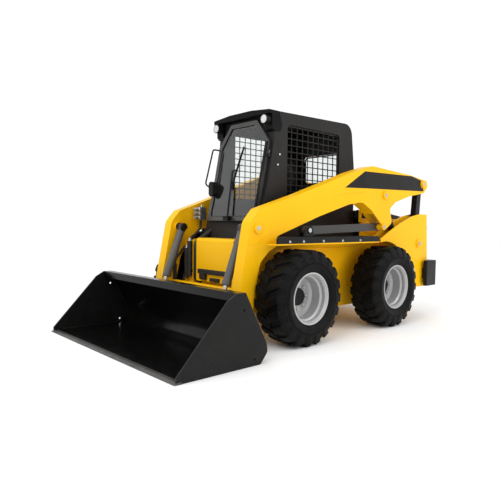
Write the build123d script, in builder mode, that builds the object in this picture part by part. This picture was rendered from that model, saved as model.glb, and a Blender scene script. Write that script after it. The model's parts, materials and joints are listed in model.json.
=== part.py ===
from build123d import *
from math import atan2, cos, degrees, hypot, radians, sin
import os

# Skid steer loader: vertical-lift arms, hollow cab, bucket on a quick-attach coupler.
# Frame: +Z up, -Y forward (the bucket's end), +X to the machine's left, millimetres.
# Origin: on the ground, under the centre of the overall box.
# Side profiles are drawn as (distance behind the front axle, height above the ground).

# ---- Overall layout ----
FRONT_AXLE_Y = -421.5
WHEELBASE = 1326.5
FIT = 0.3                # gap between faces of different bodies that bear on each other
RUN = 0.05               # radial clearance of a pin or a piston

# ---- Wheels ----
TYRE_R = 416.0
TYRE_W = 324.0
TYRE_X = 798.0           # middle of the tyre, from the machine's centre
TREAD_W = 262.0
BULGE_R = 306.0
LUGS = 20                # in each of the two rows of a tyre
LUG_WIDE = 72.0
LUG_HIGH = 17.0
CARCASS_SIDES = 20
BEAD_SIDES = 16
RIM_SEAT_R = 209.5
FLANGE_R = 224.6
RIM_WALL = 10.0
DISC_X = 765.0
HUB_R = 74.0
HUB_FACE_X = 792.0
SPINDLE_R = 45.0

# ---- Hull ----
HULL_HALF = 500.0
HULL_BOX = 140.0         # width of each side box
BELLY_Z = 200.0
BELLY_T = 14.0
DECK_Z = 880.0
HULL_FRONT = -300.0
HULL_REAR = WHEELBASE + 733.5
BAY_FRONT = WHEELBASE + 3.5      # front of the engine bay
BAY_TOP = 1120.0
BAY_WALL = 36.0
FLOOR_Z = 440.0          # the operator's floor

HOOD_HINGE = (BAY_FRONT - 10.0, BAY_TOP + 84.0)
HOOD_HINGE_IN = HULL_HALF - BAY_WALL + 2   # inner face of a bracket

# ---- Door and hood hinges ----
KNUCKLE = 30.0           # length of one hinge knuckle
KNUCKLE_R = 9.0
HINGE_PIN_R = 5.0

# ---- Cab ----
CAB_HALF = 400.0
CAB_WALL = 32.0
CAB_BOTTOM = 880.0
CAB_REAR = BAY_FRONT - 30.0
ROOF_Z = 2123.0
DOOR_Z = 1075.0
DOOR_TOP = 2035.0
DOOR_HALF = 362.0
DOOR_T = 28.0
DOOR_GAP = 6.0
DOOR_SEAL = 14.0         # how far the door laps over the edge of its opening
DOOR_RAIL = 42.0
GLASS_T = 6.0

# ---- Loader linkage: pins as (behind, height) ----
LINK_FRONT = (160.0, 994.0)      # control link on the hull
LINK_REAR = (WHEELBASE - 56.5, 1030.0)     # control link on the arm
TOWER_PIN = (HULL_REAR - 70.0, 846.0)      # rear link in the upright
ARM_REAR_PIN = (HULL_REAR, 1520.0)  # rear link in the arm
LIFT_BASE = (HULL_REAR - 192.0, 545.0)      # lift cylinder in the upright
LIFT_TOP = (WHEELBASE - 32.5, 1357.0)      # lift cylinder in the arm
TILT_TOP = (-364.0, 1011.0)      # tilt cylinder on the arm
TILT_FOOT = (-598.0, 400.0)      # tilt cylinder on the coupler
HINGE_PIN = (-500.0, 220.0)      # coupler on the arm
PIN_R = 22.0

# ---- Arms ----
ARM_FRONT_IN, ARM_FRONT_OUT = 534.0, 645.0
ARM_REAR_IN, ARM_REAR_OUT = 665.0, 800.0
ARM_PLATE = 15.0
ARM_BOX_END = WHEELBASE - 216.5     # behind this the arm is an open channel
ARM_ROOF_END = ARM_REAR_PIN[0] - 85.0    # behind this the channel is open above too
LINK_IN, LINK_OUT = 700.0, 765.0
CONTROL_IN, CONTROL_OUT = 700.0, 745.0
TUBE_R = 57.0

# ---- Cylinders ----
LIFT_BARREL_R, LIFT_BORE_R, LIFT_ROD_R = 37.5, 30.0, 22.5
TILT_BARREL_R, TILT_BORE_R, TILT_ROD_R = 37.5, 30.0, 20.0
TILT_X = 460.0
TILT_EYE_W = 50.0

# ---- Bucket and coupler ----
BUCKET_HALF = 1045.0
SIDE_T = 16.0
SHELL_T = 14.0
BUCKET_Z = 2.0           # the bucket rests just clear of the ground
EDGE_TIP = -1457.0
EDGE_BACK = -1400.0
BACK_LOW = (-630.0, 150.0)
BACK_HIGH = (-845.0, 552.0)
COUPLER_T = 20.0
EAR_T = 16.0
EAR_GAP = 0.4


def side(x):
    """Side-view plane at x; a profile on it extrudes towards +X."""
    return Plane(origin=(x, FRONT_AXLE_Y, 0), x_dir=(0, 1, 0), z_dir=(1, 0, 0))


def front(behind):
    """Front-view plane; a profile on it extrudes forwards, towards -Y."""
    return Plane(origin=(0, FRONT_AXLE_Y + behind, 0), x_dir=(1, 0, 0), z_dir=(0, -1, 0))


def level(z):
    """Plan-view plane at height z: (x, distance behind the front axle)."""
    return Plane(origin=(0, FRONT_AXLE_Y, z), x_dir=(1, 0, 0), z_dir=(0, 0, 1))


def outline(rows):
    """Closed face from rows of (across, up, corner radius)."""
    with BuildSketch(Plane.XY, mode=Mode.PRIVATE) as shape:
        with BuildLine():
            FilletPolyline(*[(a, b) for a, b, r in rows], radius=[r for a, b, r in rows], close=True)
        make_face()
    return shape.sketch


def bar(start, end, half_start, half_end):
    """Face of a bar between two pins, with round ends of the given half widths."""
    turn = degrees(atan2(end[1] - start[1], end[0] - start[0]))
    long = hypot(end[0] - start[0], end[1] - start[1])
    with BuildSketch(Plane.XY, mode=Mode.PRIVATE) as shape:
        with Locations(Location((start[0], start[1], 0), (0, 0, turn))):
            Polygon((0, -half_start), (long, -half_end), (long, half_end), (0, half_start), align=None)
        with Locations(start):
            Circle(half_start)
        with Locations(end):
            Circle(half_end)
    return shape.sketch


def along(start, end, distance):
    """Point at a distance from start on the way to end."""
    long = hypot(end[0] - start[0], end[1] - start[1])
    return (start[0] + (end[0] - start[0]) * distance / long,
            start[1] + (end[1] - start[1]) * distance / long)


def rod_plane(x, start, end):
    """Plane across the line between two pins, at the first one, facing the second."""
    way = Vector(0, end[0] - start[0], end[1] - start[1]).normalized()
    return Plane(origin=(x, FRONT_AXLE_Y + start[0], start[1]), x_dir=(1, 0, 0), z_dir=way)


pieces = {}

# ======== Wheels ========
bead_in, bead_out = TYRE_X - TYRE_W / 2 + 26, TYRE_X + TYRE_W / 2 - 26
CARCASS = [  # (x from the tyre's middle, radius)
    (-TYRE_W / 2, BULGE_R), (-TREAD_W / 2, TYRE_R - LUG_HIGH), (TREAD_W / 2, TYRE_R - LUG_HIGH),
    (TYRE_W / 2, BULGE_R),
]
half_pitch = 180 / LUGS
lug_top = TYRE_R * cos(radians(half_pitch))
lug_reach = TYRE_R * sin(radians(half_pitch))    # a lug's corners reach the full radius here
lug_slope = (2 * lug_reach - LUG_WIDE) / (TREAD_W / 2)
with BuildPart() as lug:
    with BuildSketch(Plane.XY.offset(BULGE_R - 10)):
        Polygon((4, -lug_reach), (TYRE_W / 2 + 4, lug_slope * TYRE_W / 2 - lug_reach),
                (TYRE_W / 2 + 4, lug_slope * TYRE_W / 2 - lug_reach + LUG_WIDE),
                (4, LUG_WIDE - lug_reach), align=None)
    extrude(amount=TYRE_R - BULGE_R + 10)
    with BuildSketch(Plane.XZ.offset(-TREAD_W)):
        Polygon((4, BULGE_R), (4, lug_top), (TREAD_W / 2 + 4, lug_top), (TYRE_W / 2 - 1, BULGE_R - 2),
                (TREAD_W / 2, BULGE_R - 2), align=None)
    extrude(amount=2 * TREAD_W, mode=Mode.INTERSECT)
lugs = []
for hand, turned in ((1, 0), (-1, half_pitch)):
    row = lug.part if hand > 0 else mirror(lug.part, about=Plane.YZ)
    for n in range(LUGS):
        lugs.append(row.moved(Location((TYRE_X, 0, 0), (turned + 2 * half_pitch * n, 0, 0))))
with BuildPart() as tyre:
    for x, r in CARCASS:
        with BuildSketch(Plane.YZ.offset(TYRE_X + x)):
            RegularPolygon(r, CARCASS_SIDES)
    loft(ruled=True)
    add(lugs)
    # dished side down to each bead, and the seat on the rim
    for face_x, bead_x in ((TYRE_X - TYRE_W / 2, bead_in + FIT), (TYRE_X + TYRE_W / 2, bead_out - FIT)):
        for x, r in ((face_x, BULGE_R - 14), (bead_x, FLANGE_R + 1)):
            with BuildSketch(Plane.YZ.offset(x)):
                RegularPolygon(r, BEAD_SIDES, major_radius=False)
        loft(ruled=True, mode=Mode.SUBTRACT)
    with BuildSketch(Plane.YZ.offset(bead_in - 1)):
        RegularPolygon(RIM_SEAT_R + FIT, BEAD_SIDES, major_radius=False)
    extrude(amount=bead_out - bead_in + 2, mode=Mode.SUBTRACT)

RIM_SECTION = [  # (x, radius), from the outer flange round the dish to the inner flange and back
    (bead_out + 8, FLANGE_R),
    (bead_out + 8, FLANGE_R - 11),
    (bead_out - 14, RIM_SEAT_R - RIM_WALL),
    (bead_out - 48, RIM_SEAT_R - RIM_WALL),
    (bead_out - 60, RIM_SEAT_R - 26),
    (DISC_X + 24, RIM_SEAT_R - 30),
    (DISC_X, RIM_SEAT_R - 52),
    (DISC_X, HUB_R),
    (HUB_FACE_X - 8, HUB_R - 4),
    (HUB_FACE_X, HUB_R - 16),
    (HUB_FACE_X, 0),
    (DISC_X + 15, 0),
    (DISC_X + 15, SPINDLE_R + RUN),
    (DISC_X - 55, SPINDLE_R + RUN),
    (DISC_X - 55, HUB_R - 6),
    (DISC_X - 14, HUB_R),
    (DISC_X - 14, RIM_SEAT_R - 46),
    (DISC_X - 40, RIM_SEAT_R - RIM_WALL),
    (bead_in, RIM_SEAT_R - RIM_WALL),
    (bead_in - 8, FLANGE_R - 11),
    (bead_in - 8, FLANGE_R),
    (bead_in, FLANGE_R),
    (bead_in, RIM_SEAT_R),
    (bead_out, RIM_SEAT_R),
    (bead_out, FLANGE_R),
]
with BuildPart() as rim:
    with BuildSketch(Plane.XY):
        Polygon(*RIM_SECTION, align=None)
    revolve(axis=Axis.X)

WHEELS = [  # (name, side of the machine, axle behind the front axle)
    ("fl", 1, 0), ("fr", -1, 0), ("rl", 1, WHEELBASE), ("rr", -1, WHEELBASE),
]
for wheel, hand, behind in WHEELS:
    centre = Location((0, FRONT_AXLE_Y + behind, TYRE_R))
    for name, made in (("tyre", tyre), ("rim", rim)):
        whole = made.part if hand > 0 else mirror(made.part, about=Plane.YZ)
        pieces[f"{name}_{wheel}"] = whole.moved(centre)

# Fixed axle stubs: bolted flange, tube and the spindle that the hub turns on.
with BuildPart() as axle_stubs:
    for behind in (0, WHEELBASE):
        with BuildSketch(side(HULL_HALF)):
            with Locations((behind, TYRE_R)):
                Circle(95)
        extrude(amount=20)
        with BuildSketch(side(HULL_HALF)):
            with Locations((behind, TYRE_R)):
                Circle(64)
        extrude(amount=DISC_X - 56 - HULL_HALF)
        with BuildSketch(side(HULL_HALF)):
            with Locations((behind, TYRE_R)):
                Circle(SPINDLE_R)
        extrude(amount=DISC_X + 12 - HULL_HALF)
    mirror(about=Plane.YZ)
pieces["axle_stubs"] = axle_stubs.part

# ======== Hull ========
HULL_SIDE = [  # (behind, height, corner radius)
    (HULL_FRONT, DECK_Z, 10),
    (HULL_FRONT, BELLY_Z + 110, 40),
    (HULL_FRONT + 120, BELLY_Z, 40),
    (HULL_REAR - 190, BELLY_Z, 60),
    (HULL_REAR, BELLY_Z + 150, 60),
    (HULL_REAR, DECK_Z, 0),
]
with BuildPart() as main_frame:
    with BuildSketch(side(HULL_HALF - HULL_BOX)):
        add(outline(HULL_SIDE))
    extrude(amount=HULL_BOX)
    with BuildSketch(side(HULL_HALF - BAY_WALL)):
        Polygon((BAY_FRONT, DECK_Z), (HULL_REAR, DECK_Z), (HULL_REAR, BAY_TOP), (BAY_FRONT, BAY_TOP),
                align=None)
    extrude(amount=BAY_WALL)
    # hinge brackets on the front ends of the bay's walls, with the hood's pins
    with BuildSketch(side(HOOD_HINGE_IN)):
        with Locations(HOOD_HINGE):
            Circle(KNUCKLE_R)
        Polygon((HOOD_HINGE[0] - KNUCKLE_R, BAY_TOP - 40), (BAY_FRONT, BAY_TOP - 40),
                (BAY_FRONT, BAY_TOP - 4), (HOOD_HINGE[0] + KNUCKLE_R, BAY_TOP - 4),
                (HOOD_HINGE[0] + KNUCKLE_R, HOOD_HINGE[1]), (HOOD_HINGE[0] - KNUCKLE_R, HOOD_HINGE[1]),
                align=None)
    extrude(amount=KNUCKLE)
    with BuildSketch(side(HOOD_HINGE_IN - KNUCKLE)):
        with Locations(HOOD_HINGE):
            Circle(HINGE_PIN_R)
    extrude(amount=2 * KNUCKLE)
    mirror(about=Plane.YZ)
    # (front, rear, bottom, top) of the plates across the hull
    for begin, end, bottom, top in (
            (HULL_FRONT + 120, HULL_REAR - 190, BELLY_Z, BELLY_Z + BELLY_T),
            (HULL_FRONT + 60, HULL_FRONT + 72, FLOOR_Z - 14, 640),
            (HULL_FRONT + 60, BAY_FRONT - 60, FLOOR_Z - 14, FLOOR_Z),
            (BAY_FRONT - 70, BAY_FRONT - 56, BELLY_Z, DECK_Z),
            (HULL_REAR - 190, HULL_REAR - 176, BELLY_Z, 560)):
        with Locations((0, FRONT_AXLE_Y + (begin + end) / 2, (bottom + top) / 2)):
            Box(2 * (HULL_HALF - HULL_BOX) + 2, end - begin, top - bottom)
pieces["main_frame"] = main_frame.part

FRONT_PANEL_HALF = 280.0
FRONT_PANEL_Y = -320.0
PANEL_LOW = 486.0
with BuildPart() as front_panel:
    with BuildSketch(side(-FRONT_PANEL_HALF)):
        add(outline([
            (FRONT_PANEL_Y, PANEL_LOW, 0), (FRONT_PANEL_Y, 905, 30), (-156, 905, 0),
            (-156, 893, 0), (FRONT_PANEL_Y + 12, 893, 18), (FRONT_PANEL_Y + 12, PANEL_LOW, 0)]))
    extrude(amount=2 * FRONT_PANEL_HALF)
    # stays down to the hull's toe plate
    for x in (-200, 200):
        with Locations((x, FRONT_AXLE_Y + (FRONT_PANEL_Y + 12 + HULL_FRONT + 60) / 2, 620)):
            Box(12, HULL_FRONT + 60 - FRONT_PANEL_Y - 12, 40)
pieces["front_panel"] = front_panel.part

FENDER_FRONT, FENDER_REAR = -280.0, WHEELBASE - 110.5
FENDER_NOTCH = -140.0    # the sheet's inner part starts here, behind the lowered arm
FENDER_T = 12.0
FENDER_TOP = DECK_Z
RAIL_TOP = 936.0
RAIL_T = 15.0
with BuildPart() as fenders:
    with BuildSketch(front(FENDER_REAR)):
        Polygon((HULL_HALF, FENDER_TOP - 65), (640, FENDER_TOP - FENDER_T),
                (ARM_REAR_OUT, FENDER_TOP - FENDER_T),
                (ARM_REAR_OUT, FENDER_TOP), (636, FENDER_TOP), (HULL_HALF, FENDER_TOP - 65 + FENDER_T),
                align=None)
    extrude(amount=FENDER_REAR - FENDER_FRONT)
    # room for the arm's shoulder at the inner front corner
    with BuildSketch(level(0)):
        Polygon((HULL_HALF - 1, FENDER_FRONT - 1), (ARM_FRONT_OUT + 36, FENDER_FRONT - 1),
                (ARM_FRONT_OUT + 36, FENDER_NOTCH), (HULL_HALF - 1, FENDER_NOTCH), align=None)
    extrude(amount=DECK_Z + 1, mode=Mode.SUBTRACT)
    mirror(about=Plane.YZ)
pieces["fenders"] = fenders.part

with BuildPart() as step_rails:
    with BuildSketch(side(ARM_REAR_OUT - RAIL_T)):
        add(outline([(FENDER_FRONT, FENDER_TOP, 0), (FENDER_FRONT, RAIL_TOP, 20),
                     (FENDER_REAR, RAIL_TOP, 20), (FENDER_REAR, FENDER_TOP, 0)]))
    extrude(amount=RAIL_T)
    mirror(about=Plane.YZ)
pieces["step_rails"] = step_rails.part

# Two ears on the fender carry the front pin of each control link.
with BuildPart() as link_brackets:
    with BuildSketch(level(FENDER_TOP)):
        with Locations(((CONTROL_IN + CONTROL_OUT) / 2, LINK_FRONT[0])):
            Rectangle(CONTROL_OUT - CONTROL_IN + 50, 200)
    extrude(amount=14)
    for x in (CONTROL_IN - EAR_GAP - EAR_T, CONTROL_OUT + EAR_GAP):
        with BuildSketch(side(x)):
            add(outline([
                (LINK_FRONT[0] - 80, FENDER_TOP + 10, 0), (LINK_FRONT[0] - 42, LINK_FRONT[1] + 42, 38),
                (LINK_FRONT[0] + 42, LINK_FRONT[1] + 42, 38), (LINK_FRONT[0] + 80, FENDER_TOP + 10, 0)]))
        extrude(amount=EAR_T)
    with BuildSketch(side(CONTROL_IN - 26)):
        with Locations(LINK_FRONT):
            Circle(PIN_R)
    extrude(amount=CONTROL_OUT - CONTROL_IN + 52)
    mirror(about=Plane.YZ)
pieces["link_brackets"] = link_brackets.part

# ======== Rear uprights ========
REAR_DOOR_HINGE = (HULL_HALF + 12.0, HULL_REAR + 90.0)     # (x, behind)
REAR_HINGE_HEIGHTS = (760.0, 1000.0)
UPRIGHT_TOP = 1176.0
UPRIGHT_REAR = HULL_REAR + 145.0
ARCH_R = 462.0
ARCH_T = 8.0
UPRIGHT_SIDE = [  # (behind, height, corner radius)
    (WHEELBASE - 86, 905, 0), (WHEELBASE + 78, 985, 60), (WHEELBASE + 274, 1066, 200),
    (WHEELBASE + 510, 1146, 200),
    (UPRIGHT_REAR - 195, UPRIGHT_TOP, 100),
    (UPRIGHT_REAR - 35, UPRIGHT_TOP, 20), (UPRIGHT_REAR, 620, 60), (UPRIGHT_REAR + 10, 350, 10),
    (WHEELBASE + 200, 350, 0), (WHEELBASE - 60, 700, 0),
]
UPRIGHT_PINS = ((TOWER_PIN, 46.0), (LIFT_BASE, 42.0))     # (pin, radius of the seats beside its eye)
with BuildPart() as rear_uprights:
    with BuildSketch(side(ARM_REAR_IN)):
        add(outline(UPRIGHT_SIDE))
        with Locations((WHEELBASE, TYRE_R)):
            Circle(ARCH_R, mode=Mode.SUBTRACT)
    extrude(amount=ARM_PLATE)
    # arch strip between the plates, concentric with the rear wheel, and the rear closing plate
    with BuildSketch(side(ARM_REAR_IN)):
        add(outline(UPRIGHT_SIDE))
        with Locations((WHEELBASE, TYRE_R)):
            Circle(ARCH_R, mode=Mode.SUBTRACT)
            Circle(ARCH_R + ARCH_T, mode=Mode.INTERSECT)
    extrude(amount=ARM_REAR_OUT - ARM_PLATE - ARM_REAR_IN)
    with BuildSketch(side(ARM_REAR_IN)):
        Polygon((UPRIGHT_REAR - 60, 352), (UPRIGHT_REAR - 8, 352), (UPRIGHT_REAR - 8, 620),
                (UPRIGHT_REAR - 42, 1140),
                (UPRIGHT_REAR - 58, 1140), (UPRIGHT_REAR - 24, 620), (UPRIGHT_REAR - 60, 420), align=None)
    extrude(amount=ARM_REAR_OUT - ARM_PLATE - ARM_REAR_IN)
    # webs to the hull, behind the wheel
    with BuildSketch(side(HULL_HALF)):
        Polygon((HULL_REAR - 180, 420), (HULL_REAR, 420), (HULL_REAR, 1100), (HULL_REAR - 220, 1040),
                (HULL_REAR - 200, 800), align=None)
    extrude(amount=ARM_REAR_IN - HULL_HALF)
    # seats inside the eyes, and the pins through them
    for pin, seat_r in UPRIGHT_PINS:
        with BuildSketch(side(ARM_REAR_IN + ARM_PLATE)):
            with Locations(pin):
                Circle(seat_r)
        extrude(amount=LINK_IN - EAR_GAP - ARM_REAR_IN - ARM_PLATE)
        with BuildSketch(side(ARM_REAR_IN)):
            with Locations(pin):
                Circle(PIN_R)
        extrude(amount=ARM_REAR_OUT + 24 - ARM_REAR_IN)
    mirror(about=Plane.YZ)
    # fixed halves of the rear door's hinges, on the left web
    for z in REAR_HINGE_HEIGHTS:
        with BuildSketch(level(z - KNUCKLE)):
            with Locations(REAR_DOOR_HINGE):
                Circle(KNUCKLE_R)
            Polygon((HULL_HALF, HULL_REAR), (REAR_DOOR_HINGE[0] + KNUCKLE_R, HULL_REAR),
                    (REAR_DOOR_HINGE[0] + KNUCKLE_R, REAR_DOOR_HINGE[1]),
                    (HULL_HALF, REAR_DOOR_HINGE[1]), align=None)
        extrude(amount=KNUCKLE)
        with BuildSketch(level(z - KNUCKLE)):
            with Locations(REAR_DOOR_HINGE):
                Circle(HINGE_PIN_R)
        extrude(amount=2 * KNUCKLE)
pieces["rear_uprights"] = rear_uprights.part

# Outer plate of each upright, with a seat inside and a boss outside at each pin.
with BuildPart() as upright_plates:
    with BuildSketch(side(ARM_REAR_OUT - ARM_PLATE)):
        add(outline(UPRIGHT_SIDE))
        with Locations((WHEELBASE, TYRE_R)):
            Circle(ARCH_R, mode=Mode.SUBTRACT)
    extrude(amount=ARM_PLATE)
    for pin, seat_r in UPRIGHT_PINS:
        with BuildSketch(side(LINK_OUT + EAR_GAP)):
            with Locations(pin):
                Circle(seat_r)
        extrude(amount=ARM_REAR_OUT + 16 - LINK_OUT - EAR_GAP)
        with BuildSketch(side(LINK_OUT)):
            with Locations(pin):
                Circle(PIN_R)
        extrude(amount=ARM_REAR_OUT + 24 - LINK_OUT, mode=Mode.SUBTRACT)
    mirror(about=Plane.YZ)
pieces["upright_plates"] = upright_plates.part

BUMPER_HALF = 872.0
BUMPER_REAR = UPRIGHT_REAR + 95.0
BUMPER_FRONT = UPRIGHT_REAR - 130.0   # front ends of the cheeks beside the uprights
BUMPER_LOW, BUMPER_HIGH = 360.0, 650.0
with BuildPart() as rear_bumper:
    with BuildSketch(level(BUMPER_LOW)):
        add(outline([
            (-BUMPER_HALF, BUMPER_FRONT, 12), (-BUMPER_HALF, BUMPER_REAR, 22),
            (BUMPER_HALF, BUMPER_REAR, 22),
            (BUMPER_HALF, BUMPER_FRONT, 12), (ARM_REAR_OUT + 30, BUMPER_FRONT, 0),
            (ARM_REAR_OUT + 30, UPRIGHT_REAR + 12, 0),
            (-ARM_REAR_OUT - 30, UPRIGHT_REAR + 12, 0), (-ARM_REAR_OUT - 30, BUMPER_FRONT, 0)]))
    extrude(amount=BUMPER_HIGH - BUMPER_LOW)
    for x in (-ARM_REAR_OUT - 15, ARM_REAR_OUT + 15):
        with Locations((x, FRONT_AXLE_Y + UPRIGHT_REAR - 65, (BUMPER_LOW + BUMPER_HIGH) / 2)):
            Box(30, 80, 120)
    # bevelled long edges at the rear
    with BuildSketch(side(-BUMPER_HALF)):
        Polygon((BUMPER_FRONT - 20, BUMPER_LOW), (BUMPER_REAR - 24, BUMPER_LOW),
                (BUMPER_REAR, BUMPER_LOW + 24),
                (BUMPER_REAR, BUMPER_HIGH - 24), (BUMPER_REAR - 24, BUMPER_HIGH),
                (BUMPER_FRONT - 20, BUMPER_HIGH), align=None)
    extrude(amount=2 * BUMPER_HALF, mode=Mode.INTERSECT)
pieces["rear_bumper"] = rear_bumper.part

ENGINE_BOX = (620.0, 560.0, 640.0)   # across, along, high
ENGINE_BEHIND = (BAY_FRONT + HULL_REAR) / 2 - 120
with BuildPart() as engine_block:
    with Locations((0, FRONT_AXLE_Y + ENGINE_BEHIND, BELLY_Z + BELLY_T + ENGINE_BOX[2] / 2)):
        Box(*ENGINE_BOX)
pieces["engine_block"] = engine_block.part

# ======== Engine covers ========
HOOD_T = 26.0
HOOD_REAR = HULL_REAR + 60.0
HOOD_KNEE = (BAY_FRONT + HULL_REAR) / 2   # where the hood's top starts to fall
with BuildPart() as hood:
    with BuildSketch(side(-HULL_HALF)):
        add(outline([
            (BAY_FRONT + 6, BAY_TOP + FIT, 0), (BAY_FRONT + 6, BAY_TOP + 90, 30),
            (HOOD_KNEE, BAY_TOP + 84, 100),
            (HOOD_REAR, BAY_TOP + 30, 20), (HOOD_REAR, BAY_TOP + FIT, 0)]))
    extrude(amount=2 * HULL_HALF)
    with BuildSketch(side(-HULL_HALF + HOOD_T)):
        add(outline([
            (BAY_FRONT + 6 + HOOD_T, BAY_TOP - 20, 0), (BAY_FRONT + 6 + HOOD_T, BAY_TOP + 90 - HOOD_T, 10),
            (HOOD_KNEE, BAY_TOP + 84 - HOOD_T, 100), (HOOD_REAR - HOOD_T, BAY_TOP + 32 - HOOD_T, 0),
            (HOOD_REAR - HOOD_T, BAY_TOP - 20, 0)]))
    extrude(amount=2 * (HULL_HALF - HOOD_T), mode=Mode.SUBTRACT)
    # louvre slots along the top
    with Locations((0, FRONT_AXLE_Y + HOOD_KNEE - 140, BAY_TOP + 60)):
        with GridLocations(300, 44, 2, 5):
            Box(240, 18, 120, mode=Mode.SUBTRACT)
    # moving halves of the hinges, inside the brackets
    for x in (-HOOD_HINGE_IN + FIT, HOOD_HINGE_IN - FIT - KNUCKLE):
        with BuildSketch(side(x)):
            with Locations(HOOD_HINGE):
                Circle(KNUCKLE_R)
            Polygon((HOOD_HINGE[0], HOOD_HINGE[1] - KNUCKLE_R), (BAY_FRONT + 16, HOOD_HINGE[1] - 24),
                    (BAY_FRONT + 16, HOOD_HINGE[1] - 2), (HOOD_HINGE[0], HOOD_HINGE[1] + KNUCKLE_R),
                    align=None)
        extrude(amount=KNUCKLE)
        with BuildSketch(side(x)):
            with Locations(HOOD_HINGE):
                Circle(HINGE_PIN_R + RUN)
        extrude(amount=KNUCKLE, mode=Mode.SUBTRACT)
pieces["hood"] = hood.part

REAR_DOOR_LOW = BUMPER_HIGH + 16
REAR_DOOR_FACE = HOOD_REAR + 48.0
with BuildPart() as rear_door:
    with BuildSketch(side(-HULL_HALF)):
        add(outline([
            (HULL_REAR + 4, REAR_DOOR_LOW, 0), (HULL_REAR + 4, BAY_TOP - 6, 0),
            (HOOD_REAR, BAY_TOP - 6, 20),
            (REAR_DOOR_FACE, BAY_TOP - 90, 60), (REAR_DOOR_FACE, REAR_DOOR_LOW, 20)]))
    extrude(amount=2 * HULL_HALF)
    with Locations((0, FRONT_AXLE_Y + HULL_REAR + 40, (REAR_DOOR_LOW + BAY_TOP) / 2 - 10)):
        Box(2 * HULL_HALF - 60, 90, BAY_TOP - REAR_DOOR_LOW - 80, mode=Mode.SUBTRACT)
    # grille slots through the skin
    with Locations((0, FRONT_AXLE_Y + REAR_DOOR_FACE, (REAR_DOOR_LOW + BAY_TOP) / 2 - 30)):
        for row in range(7):
            with Locations((0, 0, (row - 3) * 36)):
                Box(620, 120, 16, mode=Mode.SUBTRACT)
    for z in REAR_HINGE_HEIGHTS:
        with BuildSketch(level(z + FIT)):
            with Locations(REAR_DOOR_HINGE):
                Circle(KNUCKLE_R)
            Polygon((HULL_HALF - 20, REAR_DOOR_HINGE[1] - 8), (REAR_DOOR_HINGE[0], REAR_DOOR_HINGE[1] - 8),
                    (REAR_DOOR_HINGE[0], REAR_DOOR_HINGE[1] + 8),
                    (HULL_HALF - 20, REAR_DOOR_HINGE[1] + 8), align=None)
        extrude(amount=KNUCKLE)
        with BuildSketch(level(z)):
            with Locations(REAR_DOOR_HINGE):
                Circle(HINGE_PIN_R + RUN)
        extrude(amount=2 * KNUCKLE, mode=Mode.SUBTRACT)
pieces["rear_door"] = rear_door.part

# ======== Cab ========
FRONT_LINE = [  # the cab's front, (behind, height, corner radius), bottom to top
    (-146, CAB_BOTTOM, 0), (-10, 1440, 500), (62, 1815, 300), (74, 2096, 24),
]
CAB_OUTLINE = FRONT_LINE + [(CAB_REAR - 62, ROOF_Z + 4, 120), (CAB_REAR + 6, 1600, 300),
                            (CAB_REAR, CAB_BOTTOM, 0)]
WINDOW = (240.0, 1035.0, 1300.0, 1990.0)       # side window: front, rear, bottom, top
REAR_WINDOW = (300.0, 1520.0, 1840.0)          # half width, bottom, top
DOOR_HINGE_X = DOOR_HALF + 16.0
DOOR_HINGE_OUT = DOOR_GAP + DOOR_T / 2          # the hinge line's distance in front of the cab
DOOR_HINGE_HEIGHTS = (1180.0, 1700.0)
DOOR_CHAMFER = (190.0, 1822.0)       # half width of the door's top edge, height where its sides end


def cab_front(height):
    """Distance of the cab's front behind the front axle, at a height."""
    for low, high in zip(FRONT_LINE, FRONT_LINE[1:]):
        if height <= high[1]:
            return low[0] + (high[0] - low[0]) * (height - low[1]) / (high[1] - low[1])


DOOR_HINGE_LOW, DOOR_HINGE_HIGH = [(cab_front(z) - DOOR_HINGE_OUT, z) for z in DOOR_HINGE_HEIGHTS]
hinge_way = Vector(0, DOOR_HINGE_HIGH[0] - DOOR_HINGE_LOW[0],
                   DOOR_HINGE_HIGH[1] - DOOR_HINGE_LOW[1]).normalized()


def hinge_plane(point, up):
    """Plane square to the door's hinge line, a distance up it from point."""
    start = Vector(DOOR_HINGE_X, FRONT_AXLE_Y + point[0], point[1])
    return Plane(origin=start + hinge_way * up, x_dir=(1, 0, 0), z_dir=hinge_way)


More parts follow.
